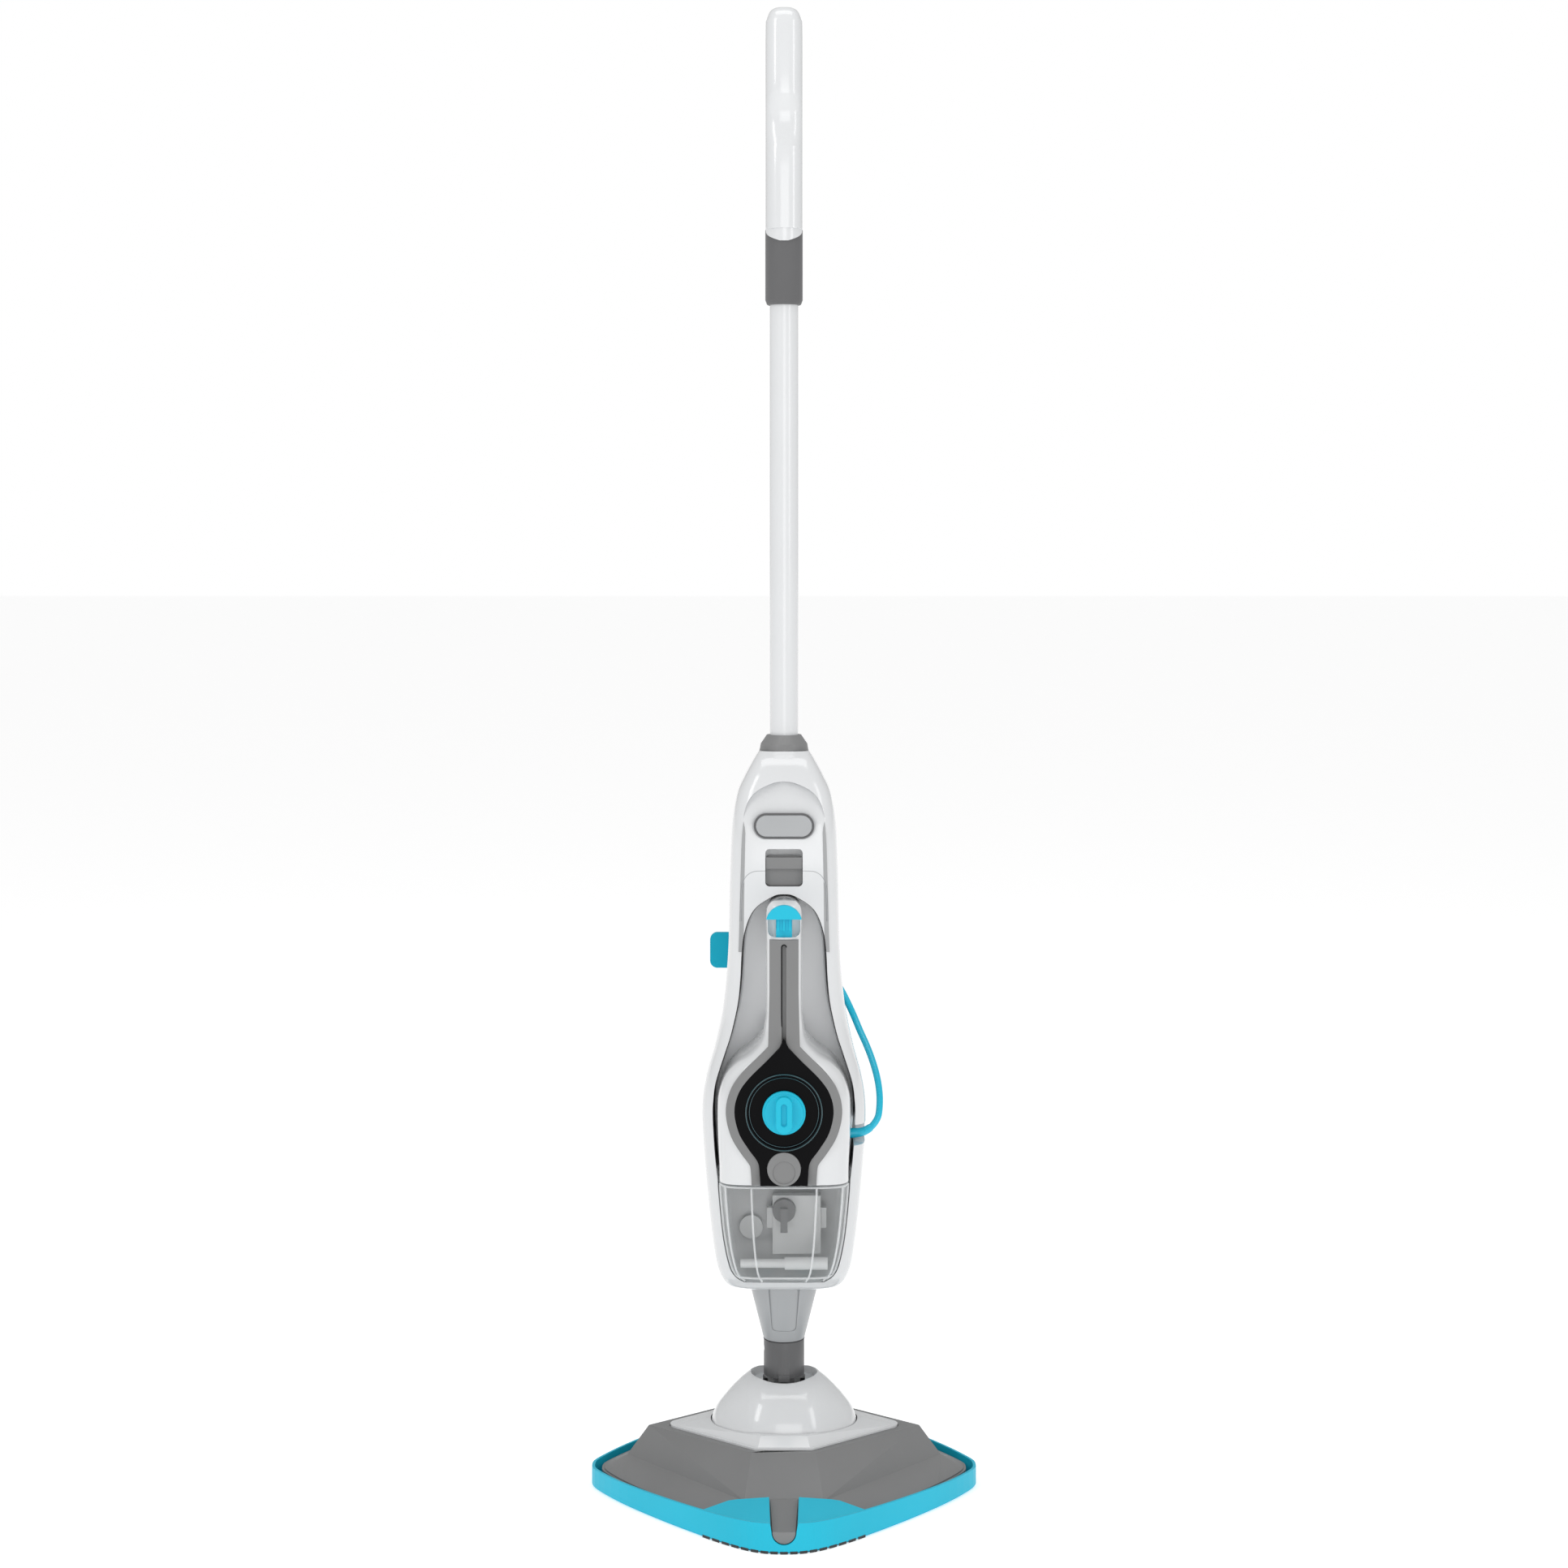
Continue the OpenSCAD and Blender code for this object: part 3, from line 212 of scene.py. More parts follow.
def apply_modifiers(obj):
    """Makes what the modifiers show the object's own mesh."""
    depsgraph = bpy.context.evaluated_depsgraph_get()
    mesh = bpy.data.meshes.new_from_object(obj.evaluated_get(depsgraph))
    obj.modifiers.clear()
    obj.data = mesh


def carve(obj, cutters):
    """Cuts the cutters out of the object, and removes them."""
    for cutter in cutters:
        step = obj.modifiers.new("cut", "BOOLEAN")
        step.operation = "DIFFERENCE"
        step.solver = "EXACT"
        step.object = cutter
        apply_modifiers(obj)
        bpy.data.objects.remove(cutter)


def round_edges(obj, width, segments=3):
    """Small radii along the sharp edges, in millimetres."""
    bevel = obj.modifiers.new("edges", "BEVEL")
    bevel.width = width * MM
    bevel.segments = segments
    bevel.limit_method = "ANGLE"
    bevel.angle_limit = math.radians(BEVEL_ANGLE)
    bevel.harden_normals = True
    bevel.miter_outer = "MITER_ARC"


def shade_smooth(obj):
    """Smooth shading, split along the edges that are sharper than SPLIT_ANGLE."""
    for face in obj.data.polygons:
        face.use_smooth = True
    edit = bmesh.new()
    edit.from_mesh(obj.data)
    for edge in edit.edges:
        edge.smooth = len(edge.link_faces) != 2 or edge.calc_face_angle(0) < math.radians(SPLIT_ANGLE)
    edit.to_mesh(obj.data)
    edit.free()


# ---- Materials ----
def surface(name, colour, rough, grain=900, bump=0.06, vary=0.05, cloud=14, metal=0.0, coat=0.0,
            alpha=None, sheen=0.0, specular=0.5, bump_depth=0.0002):
    """Moulded, painted or woven surface: clouded colour, and a fine grain in its gloss and relief.

    grain and cloud are noise scales, vary is how far the colour strays, and alpha is the
    density of a clear wall seen face on and along its edges.
    """
    material = bpy.data.materials.new(name)
    material.use_nodes = True
    nodes, links = material.node_tree.nodes, material.node_tree.links
    shader = nodes["Principled BSDF"]
    shader.inputs["Metallic"].default_value = metal
    shader.inputs["Coat Weight"].default_value = coat
    shader.inputs["Coat Roughness"].default_value = 0.08
    shader.inputs["Sheen Weight"].default_value = sheen
    shader.inputs["Specular IOR Level"].default_value = specular
    place = nodes.new("ShaderNodeTexCoord")

    def clouds(scale, detail):
        texture = nodes.new("ShaderNodeTexNoise")
        texture.inputs["Scale"].default_value = scale
        texture.inputs["Detail"].default_value = detail
        links.new(place.outputs["Object"], texture.inputs["Vector"])
        return texture.outputs["Fac"]

    soft, fine = clouds(cloud, 3), clouds(grain, 2)
    ramp = nodes.new("ShaderNodeValToRGB")
    ramp.color_ramp.elements[0].position = 0.3
    ramp.color_ramp.elements[1].position = 0.7
    ramp.color_ramp.elements[0].color = (*[c * (1 - vary) for c in colour], 1)
    ramp.color_ramp.elements[1].color = (*[min(c * (1 + vary), 1) for c in colour], 1)
    links.new(soft, ramp.inputs["Fac"])
    links.new(ramp.outputs["Color"], shader.inputs["Base Color"])
    gloss = nodes.new("ShaderNodeMapRange")
    gloss.inputs["To Min"].default_value = rough * 0.85
    gloss.inputs["To Max"].default_value = min(rough * 1.2, 1)
    links.new(fine, gloss.inputs["Value"])
    links.new(gloss.outputs["Result"], shader.inputs["Roughness"])
    relief = nodes.new("ShaderNodeBump")
    relief.inputs["Strength"].default_value = bump
    relief.inputs["Distance"].default_value = bump_depth
    links.new(fine, relief.inputs["Height"])
    links.new(relief.outputs["Normal"], shader.inputs["Normal"])
    if alpha:
        # Clear where it faces the eye, denser towards its edges
        facing = nodes.new("ShaderNodeLayerWeight")
        facing.inputs["Blend"].default_value = 0.35
        density = nodes.new("ShaderNodeMapRange")
        density.inputs["To Min"].default_value = alpha[0]
        density.inputs["To Max"].default_value = alpha[1]
        links.new(facing.outputs["Facing"], density.inputs["Value"])
        links.new(density.outputs["Result"], shader.inputs["Alpha"])
    return material


LOOKS = {
    "white_gloss": dict(colour=WHITE, rough=0.16, grain=500, bump=0.02, vary=0.012, coat=0.6),
    # The tray's white is painted brighter than the shells' white: painted light against the shade of its
    # recess
    "tray_painted_light": dict(colour=(0.90, 0.91, 0.92), rough=0.24, grain=500, bump=0.02, vary=0.012),
    "pole_paint": dict(colour=WHITE, rough=0.22, grain=700, bump=0.03, vary=0.012, coat=0.4),
    "silver_plastic": dict(colour=SILVER, rough=0.30, grain=1800, bump=0.10, vary=0.05),
    "panel_plastic": dict(colour=PANEL, rough=0.30, grain=1200, bump=0.05, vary=0.02),
    "grey_plastic": dict(colour=MID_GREY, rough=0.42, grain=1500, bump=0.14, vary=0.04),
    "dark_plastic": dict(colour=DARK_GREY, rough=0.40, grain=1500, bump=0.12, vary=0.05),
    "soft_grey": dict(colour=DARK_GREY, rough=0.62, grain=1900, bump=0.22, vary=0.05, sheen=0.1),
    "soft_insert": dict(colour=MID_GREY, rough=0.55, grain=1900, bump=0.15, vary=0.04, sheen=0.1),
    "black_plastic": dict(colour=(0.02, 0.02, 0.022), rough=0.45, bump=0.1, vary=0.1),
    "black_gloss": dict(colour=BLACK, rough=0.12, grain=400, bump=0.01, vary=0.2, specular=0.06),
    "turquoise_plastic": dict(colour=TURQUOISE, rough=0.38, grain=1300, bump=0.06,
                              vary=0.03, specular=0.25),
    "hook_plastic": dict(colour=HOOK_BLUE, rough=0.32, grain=900, bump=0.04, vary=0.03, specular=0.2),
    "cord_sheath": dict(colour=CORD_BLUE, rough=0.26, grain=1200, bump=0.06, vary=0.03, coat=0.2),
    "steel": dict(colour=(0.55, 0.55, 0.56), rough=0.28, grain=1600, bump=0.05, vary=0.06, metal=1.0),
    "brass": dict(colour=(0.72, 0.52, 0.22), rough=0.25, grain=1600, bump=0.05, vary=0.06, metal=1.0),
    "boiler_metal": dict(colour=(0.42, 0.43, 0.44), rough=0.42, bump=0.3, vary=0.1, metal=0.9),
    "seal_rubber": dict(colour=(0.015, 0.015, 0.016), rough=0.6, bump=0.1, vary=0.1),
    "hose_rubber": dict(colour=(0.68, 0.68, 0.62), rough=0.35, bump=0.05, vary=0.04),
    "pale_plastic": dict(colour=(0.66, 0.67, 0.67), rough=0.36, bump=0.08, vary=0.03),
    "clear_plastic": dict(colour=(0.80, 0.83, 0.84), rough=0.05, grain=300, bump=0.02,
                          vary=0.02, alpha=(0.04, 0.5), specular=0.9),
    # Ribs and rims: clear plastic painted whiter and denser than the wall, as painted highlight along
    # them
    "clear_rib_highlight": dict(colour=(0.86, 0.88, 0.89), rough=0.08, grain=300, bump=0.02, vary=0.02,
                       alpha=(0.45, 0.9), specular=1.0),
    "teal_ring": dict(colour=(0.02, 0.06, 0.07), rough=0.15, vary=0.1, coat=0.5),
    "microfibre": dict(colour=(0.72, 0.73, 0.72), rough=0.95, grain=700, bump=0.9, vary=0.08,
                       cloud=160, sheen=0.5, bump_depth=0.0015),
}
MATERIALS = {name: surface(name, **look) for name, look in LOOKS.items()}


def dress(obj, look, body=None, replaces=()):
    """Gives a piece its material, its body, and the CAD nodes that it stands for."""
    obj.data.materials.clear()
    obj.data.materials.append(MATERIALS[look])
    shade_smooth(obj)
    if body:
        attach(obj, body)
    if replaces:
        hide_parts(*replaces)
    return obj


# ---- Camera, at the photograph's viewing angle ----
camera_data = bpy.data.cameras.new("camera")
camera_data.sensor_width = 36  # millimetres, as is the lens
camera_data.lens = 67.08
camera_data.shift_y = -0.1636
camera_data.clip_end = 50
camera = bpy.data.objects.new("camera", camera_data)
camera.location = (0, -2.315, 0.758)
camera.rotation_euler = (math.pi / 2, 0, 0)
bpy.context.collection.objects.link(camera)
bpy.context.scene.camera = camera
bpy.context.scene.view_settings.view_transform = "Standard"

# ---- Mains cord: one tube from the gland, wound round the two posts, to the plug ----
# The lead's and the tail's points are the CAD's own; the hank's turns are worked out
CORD_D = 5.4
LOWER_POST_Z, UPPER_POST_Z = 212, 412
LEAD_ROUTE = [
    (55.2, -18, 282), (62, -17.3, 283), (68.1, -15.4, 285.9), (72.5, -12.5, 290.4),
    (74.9, -8.9, 295.8), (75.8, -1, 307), (74.4, 8, 319), (71, 18, 331), (66.5, 29, 342),
    (61, 40, 353), (55.5, 50, 365), (48.5, 55.5, 379), (41, 56.2, 392)]
TAIL_ROUTE = [
    (-33.2, 72.8, 385), (-33.2, 73.2, 350), (-33.2, 76.5, 330), (-33.2, 81.5, 312),
    (-33.2, 85, 296), (-31.6, 85, 278), (-25.8, 85, 268), (-17, 85, 262), (-8, 85, 260.5),
    (1, 85, 262), (10, 85, 268), (16, 85, 278), (17.6, 85, 291)]
LANES = (33.2, 27.6, 22.0)
LAYERS = (56, 61.6, 67.2, 72.8)


def over_the_top(r, y):
    """The half turn round the upper post."""
    return [(r * math.cos(a), y, UPPER_POST_Z + r * math.sin(a)) for a in arc(0, 180)]


def wind_turn(r, y, r_next, y_next):
    """One turn round both posts; it moves to the next lane on its way up the right side."""
    rise = UPPER_POST_Z - LOWER_POST_Z
    down = [(-r, y, UPPER_POST_Z - rise * t) for t in (0.25, 0.5, 0.75)]
    under = [(r * math.cos(a), y, LOWER_POST_Z + r * math.sin(a)) for a in arc(180, 360)]
    up = [(r + (r_next - r) * ease(t), y + (y_next - y) * ease(t), LOWER_POST_Z + rise * t)
          for t in (0.2, 0.4, 0.6, 0.8)]
    return over_the_top(r, y) + down + under + up


turns = []
for layer, y in enumerate(LAYERS):
    turns += [(lane, y) for lane in (LANES if layer % 2 == 0 else LANES[::-1])]
winding = []
for (r, y), (r_next, y_next) in zip(turns, turns[1:] + turns[-1:]):
    winding += wind_turn(r, y, r_next, y_next)
cord_path = smooth(LEAD_ROUTE, 4) + winding + over_the_top(*turns[-1]) + smooth(TAIL_ROUTE, 4)
cord = dress(tube("mains_cord", cord_path, CORD_D / 2), "cord_sheath")
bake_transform(cord)
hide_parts("cord_lead", "cord_hank", "cord_tail")

# ---- Outlines of the body and the bay, from the front and from the side ----
BODY_HALF = smooth([
    (19.5, 582), (25, 573), (31.5, 561), (37, 548), (40.8, 524), (42.6, 480), (44, 425), (48, 382),
    (54, 353), (61, 328), (64.4, 305), (63.4, 275), (59.4, 228), (55, 192), (51.5, 176),
    (45.5, 165.5), (36, 162)])
BODY_FRONT = smooth([(-19.5, 582), (-30, 573), (-39, 555), (-44, 525), (-46, 480), (-46, 400),
                     (-47, 300), (-46, 220), (-44, 182), (-38, 167), (-30.5, 162)])
BODY_BACK = smooth([(19.5, 582), (26, 574), (36, 552), (44, 500), (48, 400), (50, 280), (48, 198),
                    (41, 170), (30.5, 162)])
UNIT_HALF = smooth([
    (0, 472), (7, 471), (19.4, 463.5), (26, 454.5), (30.4, 440.5), (32, 426.5), (33, 407),
    (35, 387.5), (40.2, 364), (45, 349), (52, 327), (54, 313), (54.5, 299), (53, 272), (50.8, 252)])
TANK_HALF = smooth([(50.7, 251), (49.8, 236), (46.6, 206), (42, 184), (37.5, 175.5), (31, 171)])
BAY = both_sides(UNIT_HALF + TANK_HALF + [Vector((0, 171))])


def oval_ring(half_w, y_front, y_back, y_mid, z, power, steps=96):
    """A level ring with full, rounded corners; power 2 is an ellipse, more is squarer."""
    ring = []
    for k in range(steps):
        a = 2 * math.pi * (k + 0.5) / steps
        c, s = math.cos(a), math.sin(a)
        x = half_w * math.copysign(abs(c) ** (2 / power), c)
        depth = (y_back - y_mid) if s > 0 else (y_mid - y_front)
        ring.append((x, y_mid + depth * math.copysign(abs(s) ** (2 / power), s), z))
    return ring


def heights(profile, extra=()):
    """Every height in a profile, and the extra ones, from the lowest up."""
    return sorted({round(p[1], 3) for p in profile} | set(extra))


def half_space(name, y_low, y_high):
    """Everything between two depths, to cut a shell in two."""
    return box_prism(name, -200, 200, 0, 1300, y_low, y_high)


# ---- Body shells, with the bay, the latch window and the notch for the cord ----
PARTING_Y = -8
PARTING_OVERLAP = 0.25
BODY_POWER = 4.6
CLEAR_Y = -70
SOCKET_Z = 308


def bay_room(clearance, y_back):
    """Room for the handheld unit and its tank, wider than they are by the clearance."""
    return prism("bay", shifted(BAY, -clearance), CLEAR_Y, y_back)


def latch_window():
    """The square opening that the latch shows in."""
    return prism("window", rounded_box(0, 493.5, 29, 29, 3.2), CLEAR_Y, -34)


def cord_notch(y_back):
    """Room for the cord where it leaves the unit's right side."""
    return prism("notch", rounded_box(65, 285, 30, 16, 3), CLEAR_Y, y_back)


def post_seat(z):
    """Hole for a cord hook's post in the back of the body."""
    return prism("post_seat", circle(0, z, 6), 44, 60)


def body_solid(name):
    """The whole outer shape of the body."""
    rings = [oval_ring(across(BODY_HALF, z), across(BODY_FRONT, z), across(BODY_BACK, z), PARTING_Y,
                       z, BODY_POWER) for z in heights(BODY_HALF, (164, 580.5))]
    return loft(name, rings)


PANEL_HALF = smooth([
    (0.2, 560), (9, 558.6), (22, 552), (29.5, 541), (33, 520), (34.5, 480), (35.5, 440), (36, 428)])
PANEL_SHARES = [k / 8 for k in range(-8, 9)]
PANEL_SETBACK, ARCH_SETBACK, PANEL_CROWN = 2.2, 4.2, 1.2


def panel_depth(z, share):
    """Depth of the set-back panel, which is crowned and dips in deeper under the arch."""
    return (across(BODY_FRONT, z) + PANEL_SETBACK + ARCH_SETBACK * ease((z - 520) / 36)
            - PANEL_CROWN * math.cos(share * math.pi / 2))


def panel_line(z, inset):
    """The panel's surface at one height, from left to right."""
    half_w = max(across(PANEL_HALF, z) - inset, 0.1)
    return [(half_w * share, panel_depth(z, share), z) for share in PANEL_SHARES]


def panel_room():
    """Everything in front of the panel's surface."""
    rings = []
    for z in heights(PANEL_HALF):
        face = panel_line(z, 0)
        rings.append([(face[0][0], CLEAR_Y, z), (face[-1][0], CLEAR_Y, z)] + face[::-1])
    return loft("panel_room", rings)


def panel_skin(inset, thickness):
    """A sheet on the panel's surface, a hair behind it."""
    rings = []
    for z in heights(PANEL_HALF):
        face = panel_line(z, inset)
        rings.append([(x, y + 0.02, z) for x, y, z in face]
                     + [(x, y + thickness, z) for x, y, z in reversed(face)])
    return loft("arch_panel", rings)


# Front frame
front = body_solid("body_front")
carve(front, [half_space("rear", PARTING_Y - PARTING_OVERLAP, 200), bay_room(1, 0), panel_room(),
              latch_window(), cord_notch(0)])
round_edges(front, 1.1)
dress(front, "white_gloss", "mop_body", ["front_frame"])

# The set-back panel is its own skin, with a fine crease across it at the latch
CREASE_HALF = smooth([
    (0, 491), (18, 491), (25, 490), (30, 486), (32.6, 479), (33.2, 470), (33.6, 452)], 4)
crease_outline = [(-x, z) for x, z in reversed(CREASE_HALF)] + [(x, z) for x, z in CREASE_HALF[1:]]
crease = [(x, panel_depth(z, x / 36) - 0.1, z) for x, z in crease_outline]
skin = panel_skin(0.5, 1.4)
carve(skin, [bay_room(1, 0), latch_window(), tube("crease", crease, 0.7, 8)])
round_edges(skin, 0.5)
dress(skin, "panel_plastic", "mop_body")
crease_line = tube("crease_line", [(x, y + 0.45, z) for x, y, z in crease], 0.42, 8)
carve(crease_line, [latch_window()])
dress(crease_line, "silver_plastic", "mop_body")

# Fine dark line round the blank badge
badge_rim = [(p[0], -44.5, p[1]) for p in rounded_box(0, 526, 45.6, 18.6, 9.2)]
dress(tube("badge_rim", badge_rim + badge_rim[:1], 0.7, 8), "soft_grey", "mop_body")

# Painted shade: a black strip in the bay, seen as the dark line of the gap between the body and the
# handheld unit
gap_shade = prism("bay_gap_shade", shifted(BAY, -0.95), -39, -35.5)
carve(gap_shade, [prism("unit_room", shifted(BAY, -0.15), -60, 0),
               box_prism("lower_part", -90, 90, 150, 322, -60, 0)])
dress(gap_shade, "black_plastic", "mop_body")

# Back shell
back = body_solid("body_back")
carve(back, [half_space("fore", -200, PARTING_Y + PARTING_OVERLAP), bay_room(2.8, 17.3),
             cord_notch(4), prism("socket", circle(0, SOCKET_Z, 11.2), 0, 39),
             post_seat(LOWER_POST_Z), post_seat(UPPER_POST_Z)])
round_edges(back, 1.1)
dress(back, "white_gloss", "mop_body", ["back_shell"])

# ---- Handheld unit ----
UNIT_BACK_Y = 14
BAR_HALF = smooth([
    (0.4, 471.6), (6, 470.4), (12, 466), (14, 458), (14, 440), (14, 391), (14.6, 378), (17.6, 364),
    (26.2, 353.6), (37, 345.6), (45.6, 335), (50.8, 320.6), (51.8, 306), (51.4, 285), (50.4, 265),
    (50.2, 252)])
BAR_FRONT = smooth([(-40, 472), (-50, 470), (-60, 465.5), (-66, 456), (-68, 444), (-68, 384),
                    (-70, 364), (-73.6, 340), (-73.6, 282), (-71, 262), (-68, 252)])
DIAL_Z, BUTTON_Z, FASCIA_BOTTOM_Z = 309.5, 266, 253
GAP_LOW, GAP_HIGH = 374, 446
UNIT_CLEAR_Y = -90


def teardrop(inset):
    """Outline of the fascia, drawn in by inset all round."""
    half = smooth([(3.5, DIAL_Z + 49), (13, DIAL_Z + 39.3), (27, DIAL_Z + 25.7), (35, DIAL_Z + 14),
                   (38, DIAL_Z), (34.5, DIAL_Z - 16), (27, DIAL_Z - 28.5), (20, DIAL_Z - 38.5),
                   (18.6, DIAL_Z - 48), (18.2, FASCIA_BOTTOM_Z)])
    tip, foot = Vector((0, DIAL_Z + 56)), Vector((0, FASCIA_BOTTOM_Z))
    return shifted(both_sides([tip] + half + [foot]), inset)


def handle_solid(name):
    """The bar and the head under it; the bar stands clear of the tray behind it."""
    gap_ends = [GAP_LOW + 2 * k for k in range(7)] + [GAP_HIGH - 2 * k for k in range(7)]
    rings = []
    for z in heights(BAR_HALF, gap_ends):
        half_w = across(BAR_HALF, z)
        # 1 along the free bar, 0 where it joins the tray
        bar = ease((z - GAP_LOW) / 12) * ease((GAP_HIGH - z) / 10)
        y_back = UNIT_BACK_Y - 0.3 - (UNIT_BACK_Y + 39.7) * bar
        y_mid = -34 - 20 * ease((z - 350) / 26)
        power = 5 - 2.3 * ease((z - 338) / 36)
        rings.append(oval_ring(half_w, across(BAR_FRONT, z), y_back, y_mid, z, power, 112))
    return loft(name, rings)


# White shells, with room for the trigger, the insert, the fascia and the release button
for side, name in ((-1, "left"), (1, "right")):
    shell = handle_solid("handle_" + name)
    other_half = sorted((side * -0.12, side * -90))
    carve(shell, [box_prism("half", *other_half, 200, 500, -120, 60),
                  prism("recess", rounded_box(0, 452, 25, 19, 5), UNIT_CLEAR_Y, -58),
                  box_prism("channel", -11.3, 11.3, 352, 441, UNIT_CLEAR_Y, -66),
                  prism("band", teardrop(-6.8), UNIT_CLEAR_Y, -71),
                  prism("face", teardrop(0), UNIT_CLEAR_Y, -68),
                  prism("button_shaft", circle(0, BUTTON_Z, 13.15), UNIT_CLEAR_Y, -61)])
    round_edges(shell, 0.7)
    dress(shell, "white_gloss", "handheld_unit", ["unit_%s_shell" % name])

# The tray behind the bar, in white painted brighter than the shells as painted light against the shade of
# its recess, and the plate behind the tank
tray = prism("unit_tray", both_sides(UNIT_HALF + [Vector((0, 252))]), -12, UNIT_BACK_Y)
round_edges(tray, 2.2, segments=4)
dress(tray, "tray_painted_light", "handheld_unit")
plate = prism("tank_plate", BAY, 9.6, UNIT_BACK_Y)
round_edges(plate, 0.8)
dress(plate, "white_gloss", "handheld_unit")

# The grey insert runs down the bar's front and parts round the fascia
INSERT_HALF_W, INSERT_LOW_Z, INSERT_HIGH_Z = 11.2, 252.3, 440.8
band = [p for p in teardrop(-6.7) if p[0] > INSERT_HALF_W + 0.1 and p[1] > INSERT_LOW_Z]
insert_half = [(INSERT_HALF_W, INSERT_HIGH_Z), (INSERT_HALF_W, 400), *band, (band[-1][0], INSERT_LOW_Z)]
insert_rings = []
for z in [INSERT_LOW_Z + 3.14 * k for k in range(61)] + [INSERT_HIGH_Z]:
    w = across(insert_half, z)
    y_front = across(BAR_FRONT, z) - 1
    y_back = y_front + 4.5
    insert_rings.append([(-w, y_front, z), (w, y_front, z), (w, y_back, z), (-w, y_back, z)])
insert = loft("bar_insert", insert_rings)
carve(insert, [prism("face", teardrop(-0.1), UNIT_CLEAR_Y, -60),
               prism("slot", rounded_box(0, 398, 3.4, 78, 1.69), UNIT_CLEAR_Y, -67)])
round_edges(insert, 0.7)
dress(insert, "soft_insert", "handheld_unit", ["handle_insert"])
slot_lip = tube("slot_lip", [(p[0], -69.1, p[1]) for p in rounded_box(0, 398, 3.6, 78, 1.79)], 0.45, 8)
dress(slot_lip, "black_gloss", "handheld_unit")

# ---- Water tank: a clear wall with ribs ----
TANK_TOP_Z, TANK_BOTTOM_Z = 250.7, 171.3
TANK_SIDE = smooth([(-66, 251), (-65, 236), (-61, 208), (-55, 186), (-50, 175), (-46, 171)])
TANK_MID_Y, TANK_BACK_Y = -24, 9.2
TANK_POWER = 5.5


def tank_half_w(z):
    """Half the tank's width, a little less than its room in the bay."""
    return across(TANK_HALF, z) - 0.3


def tank_ring(z):
    """The tank's outline at one height."""
    return oval_ring(tank_half_w(z), across(TANK_SIDE, z), TANK_BACK_Y, TANK_MID_Y, z, TANK_POWER)


tank_heights = [TANK_BOTTOM_Z + 2.4 + 3 * k for k in range(26)]
tank = loft("tank_wall", [tank_ring(z) for z in [TANK_BOTTOM_Z, *tank_heights, TANK_TOP_Z]])
round_edges(tank, 1.6)
apply_modifiers(tank)
wall = tank.modifiers.new("wall", "SOLIDIFY")
wall.thickness = 1.8 * MM
wall.offset = -1
apply_modifiers(tank)
dress(tank, "clear_plastic", "water_tank", ["tank_shell"])


def tank_front(x_share, z):
    """A point on the tank's front, at a share of its half-width."""
    depth = (1 - abs(x_share) ** TANK_POWER) ** (1 / TANK_POWER)
    y = TANK_MID_Y + (across(TANK_SIDE, z) - TANK_MID_Y) * depth
    return (x_share * tank_half_w(z), y, z)


# The ribs and rims are real; their whiter, denser clear plastic is painted highlight
TANK_SIDE_SHARE = 0.985
rib_heights = [TANK_BOTTOM_Z + 1.5 + 4 * k for k in range(20)]
for number, share in enumerate((-TANK_SIDE_SHARE, -0.9, -0.5, 0.5, 0.9, TANK_SIDE_SHARE)):
    rib = tube("tank_rib_%d" % number, [tank_front(share, z) for z in rib_heights], 0.8, 10)
    dress(rib, "clear_rib_highlight", "water_tank")
for number, z in enumerate((176, TANK_TOP_Z - 1.2)):
    rim_line = [tank_front(TANK_SIDE_SHARE * (k / 20 - 1), z) for k in range(41)]
    rim = tube("tank_rim_%d" % number, rim_line, 0.8, 10)
    dress(rim, "clear_rib_highlight", "water_tank")

# ---- Hand grip ----
GRIP_HALF = smooth([(5, 1169.8), (10.5, 1167), (13.6, 1160), (14.5, 1150), (14.5, 1080), (14.5, 994)])
GRIP_FRONT = smooth([(-3, 1169.8), (-9, 1168), (-14.5, 1161), (-16, 1146), (-16, 1106), (-14, 1095),
                     (-11.5, 1084), (-11.5, 1072), (-14, 1062), (-16, 1052), (-16, 994)])
GRIP_BACK = smooth([
    (5, 1169.8), (13, 1165), (20, 1152), (22, 1125), (22, 1090), (17.5, 1034), (16, 994)])


def grip_solid(name):
    """The whole outer shape of the grip, with its finger dents."""
    rings = [oval_ring(across(GRIP_HALF, z), across(GRIP_FRONT, z), across(GRIP_BACK, z), 0, z, 2.7)
             for z in heights(GRIP_HALF, [996 + 3 * k for k in range(57)])]
    return loft(name, rings)


for name, low, high in (("front", 0.1, 200), ("rear", -200, -0.1)):
    shell = grip_solid("grip_" + name)
    carve(shell, [half_space("half", low, high)])
    round_edges(shell, 0.5)
    dress(shell, "white_gloss", "mop_body", ["grip_%s_shell" % name])

# The front shell runs down over the sleeve as a short rounded tongue
TONGUE_TIP_Z, TONGUE_R, SLEEVE_R = 983, 15.7, 14.5
tongue_rings = []
for rise in range(1, 13):
    half_turn = 1.15 * math.sqrt(ease(rise / 9))
    turn = [half_turn * (2 * step / 16 - 1) for step in range(17)]
    outside = [(TONGUE_R * math.sin(a), -TONGUE_R * math.cos(a), TONGUE_TIP_Z + rise) for a in turn]
    inside = [(SLEEVE_R * math.sin(a), -SLEEVE_R * math.cos(a), TONGUE_TIP_Z + rise) for a in turn]
    tongue_rings.append(outside + inside[::-1])
dress(loft("grip_tongue", tongue_rings), "white_gloss", "mop_body")

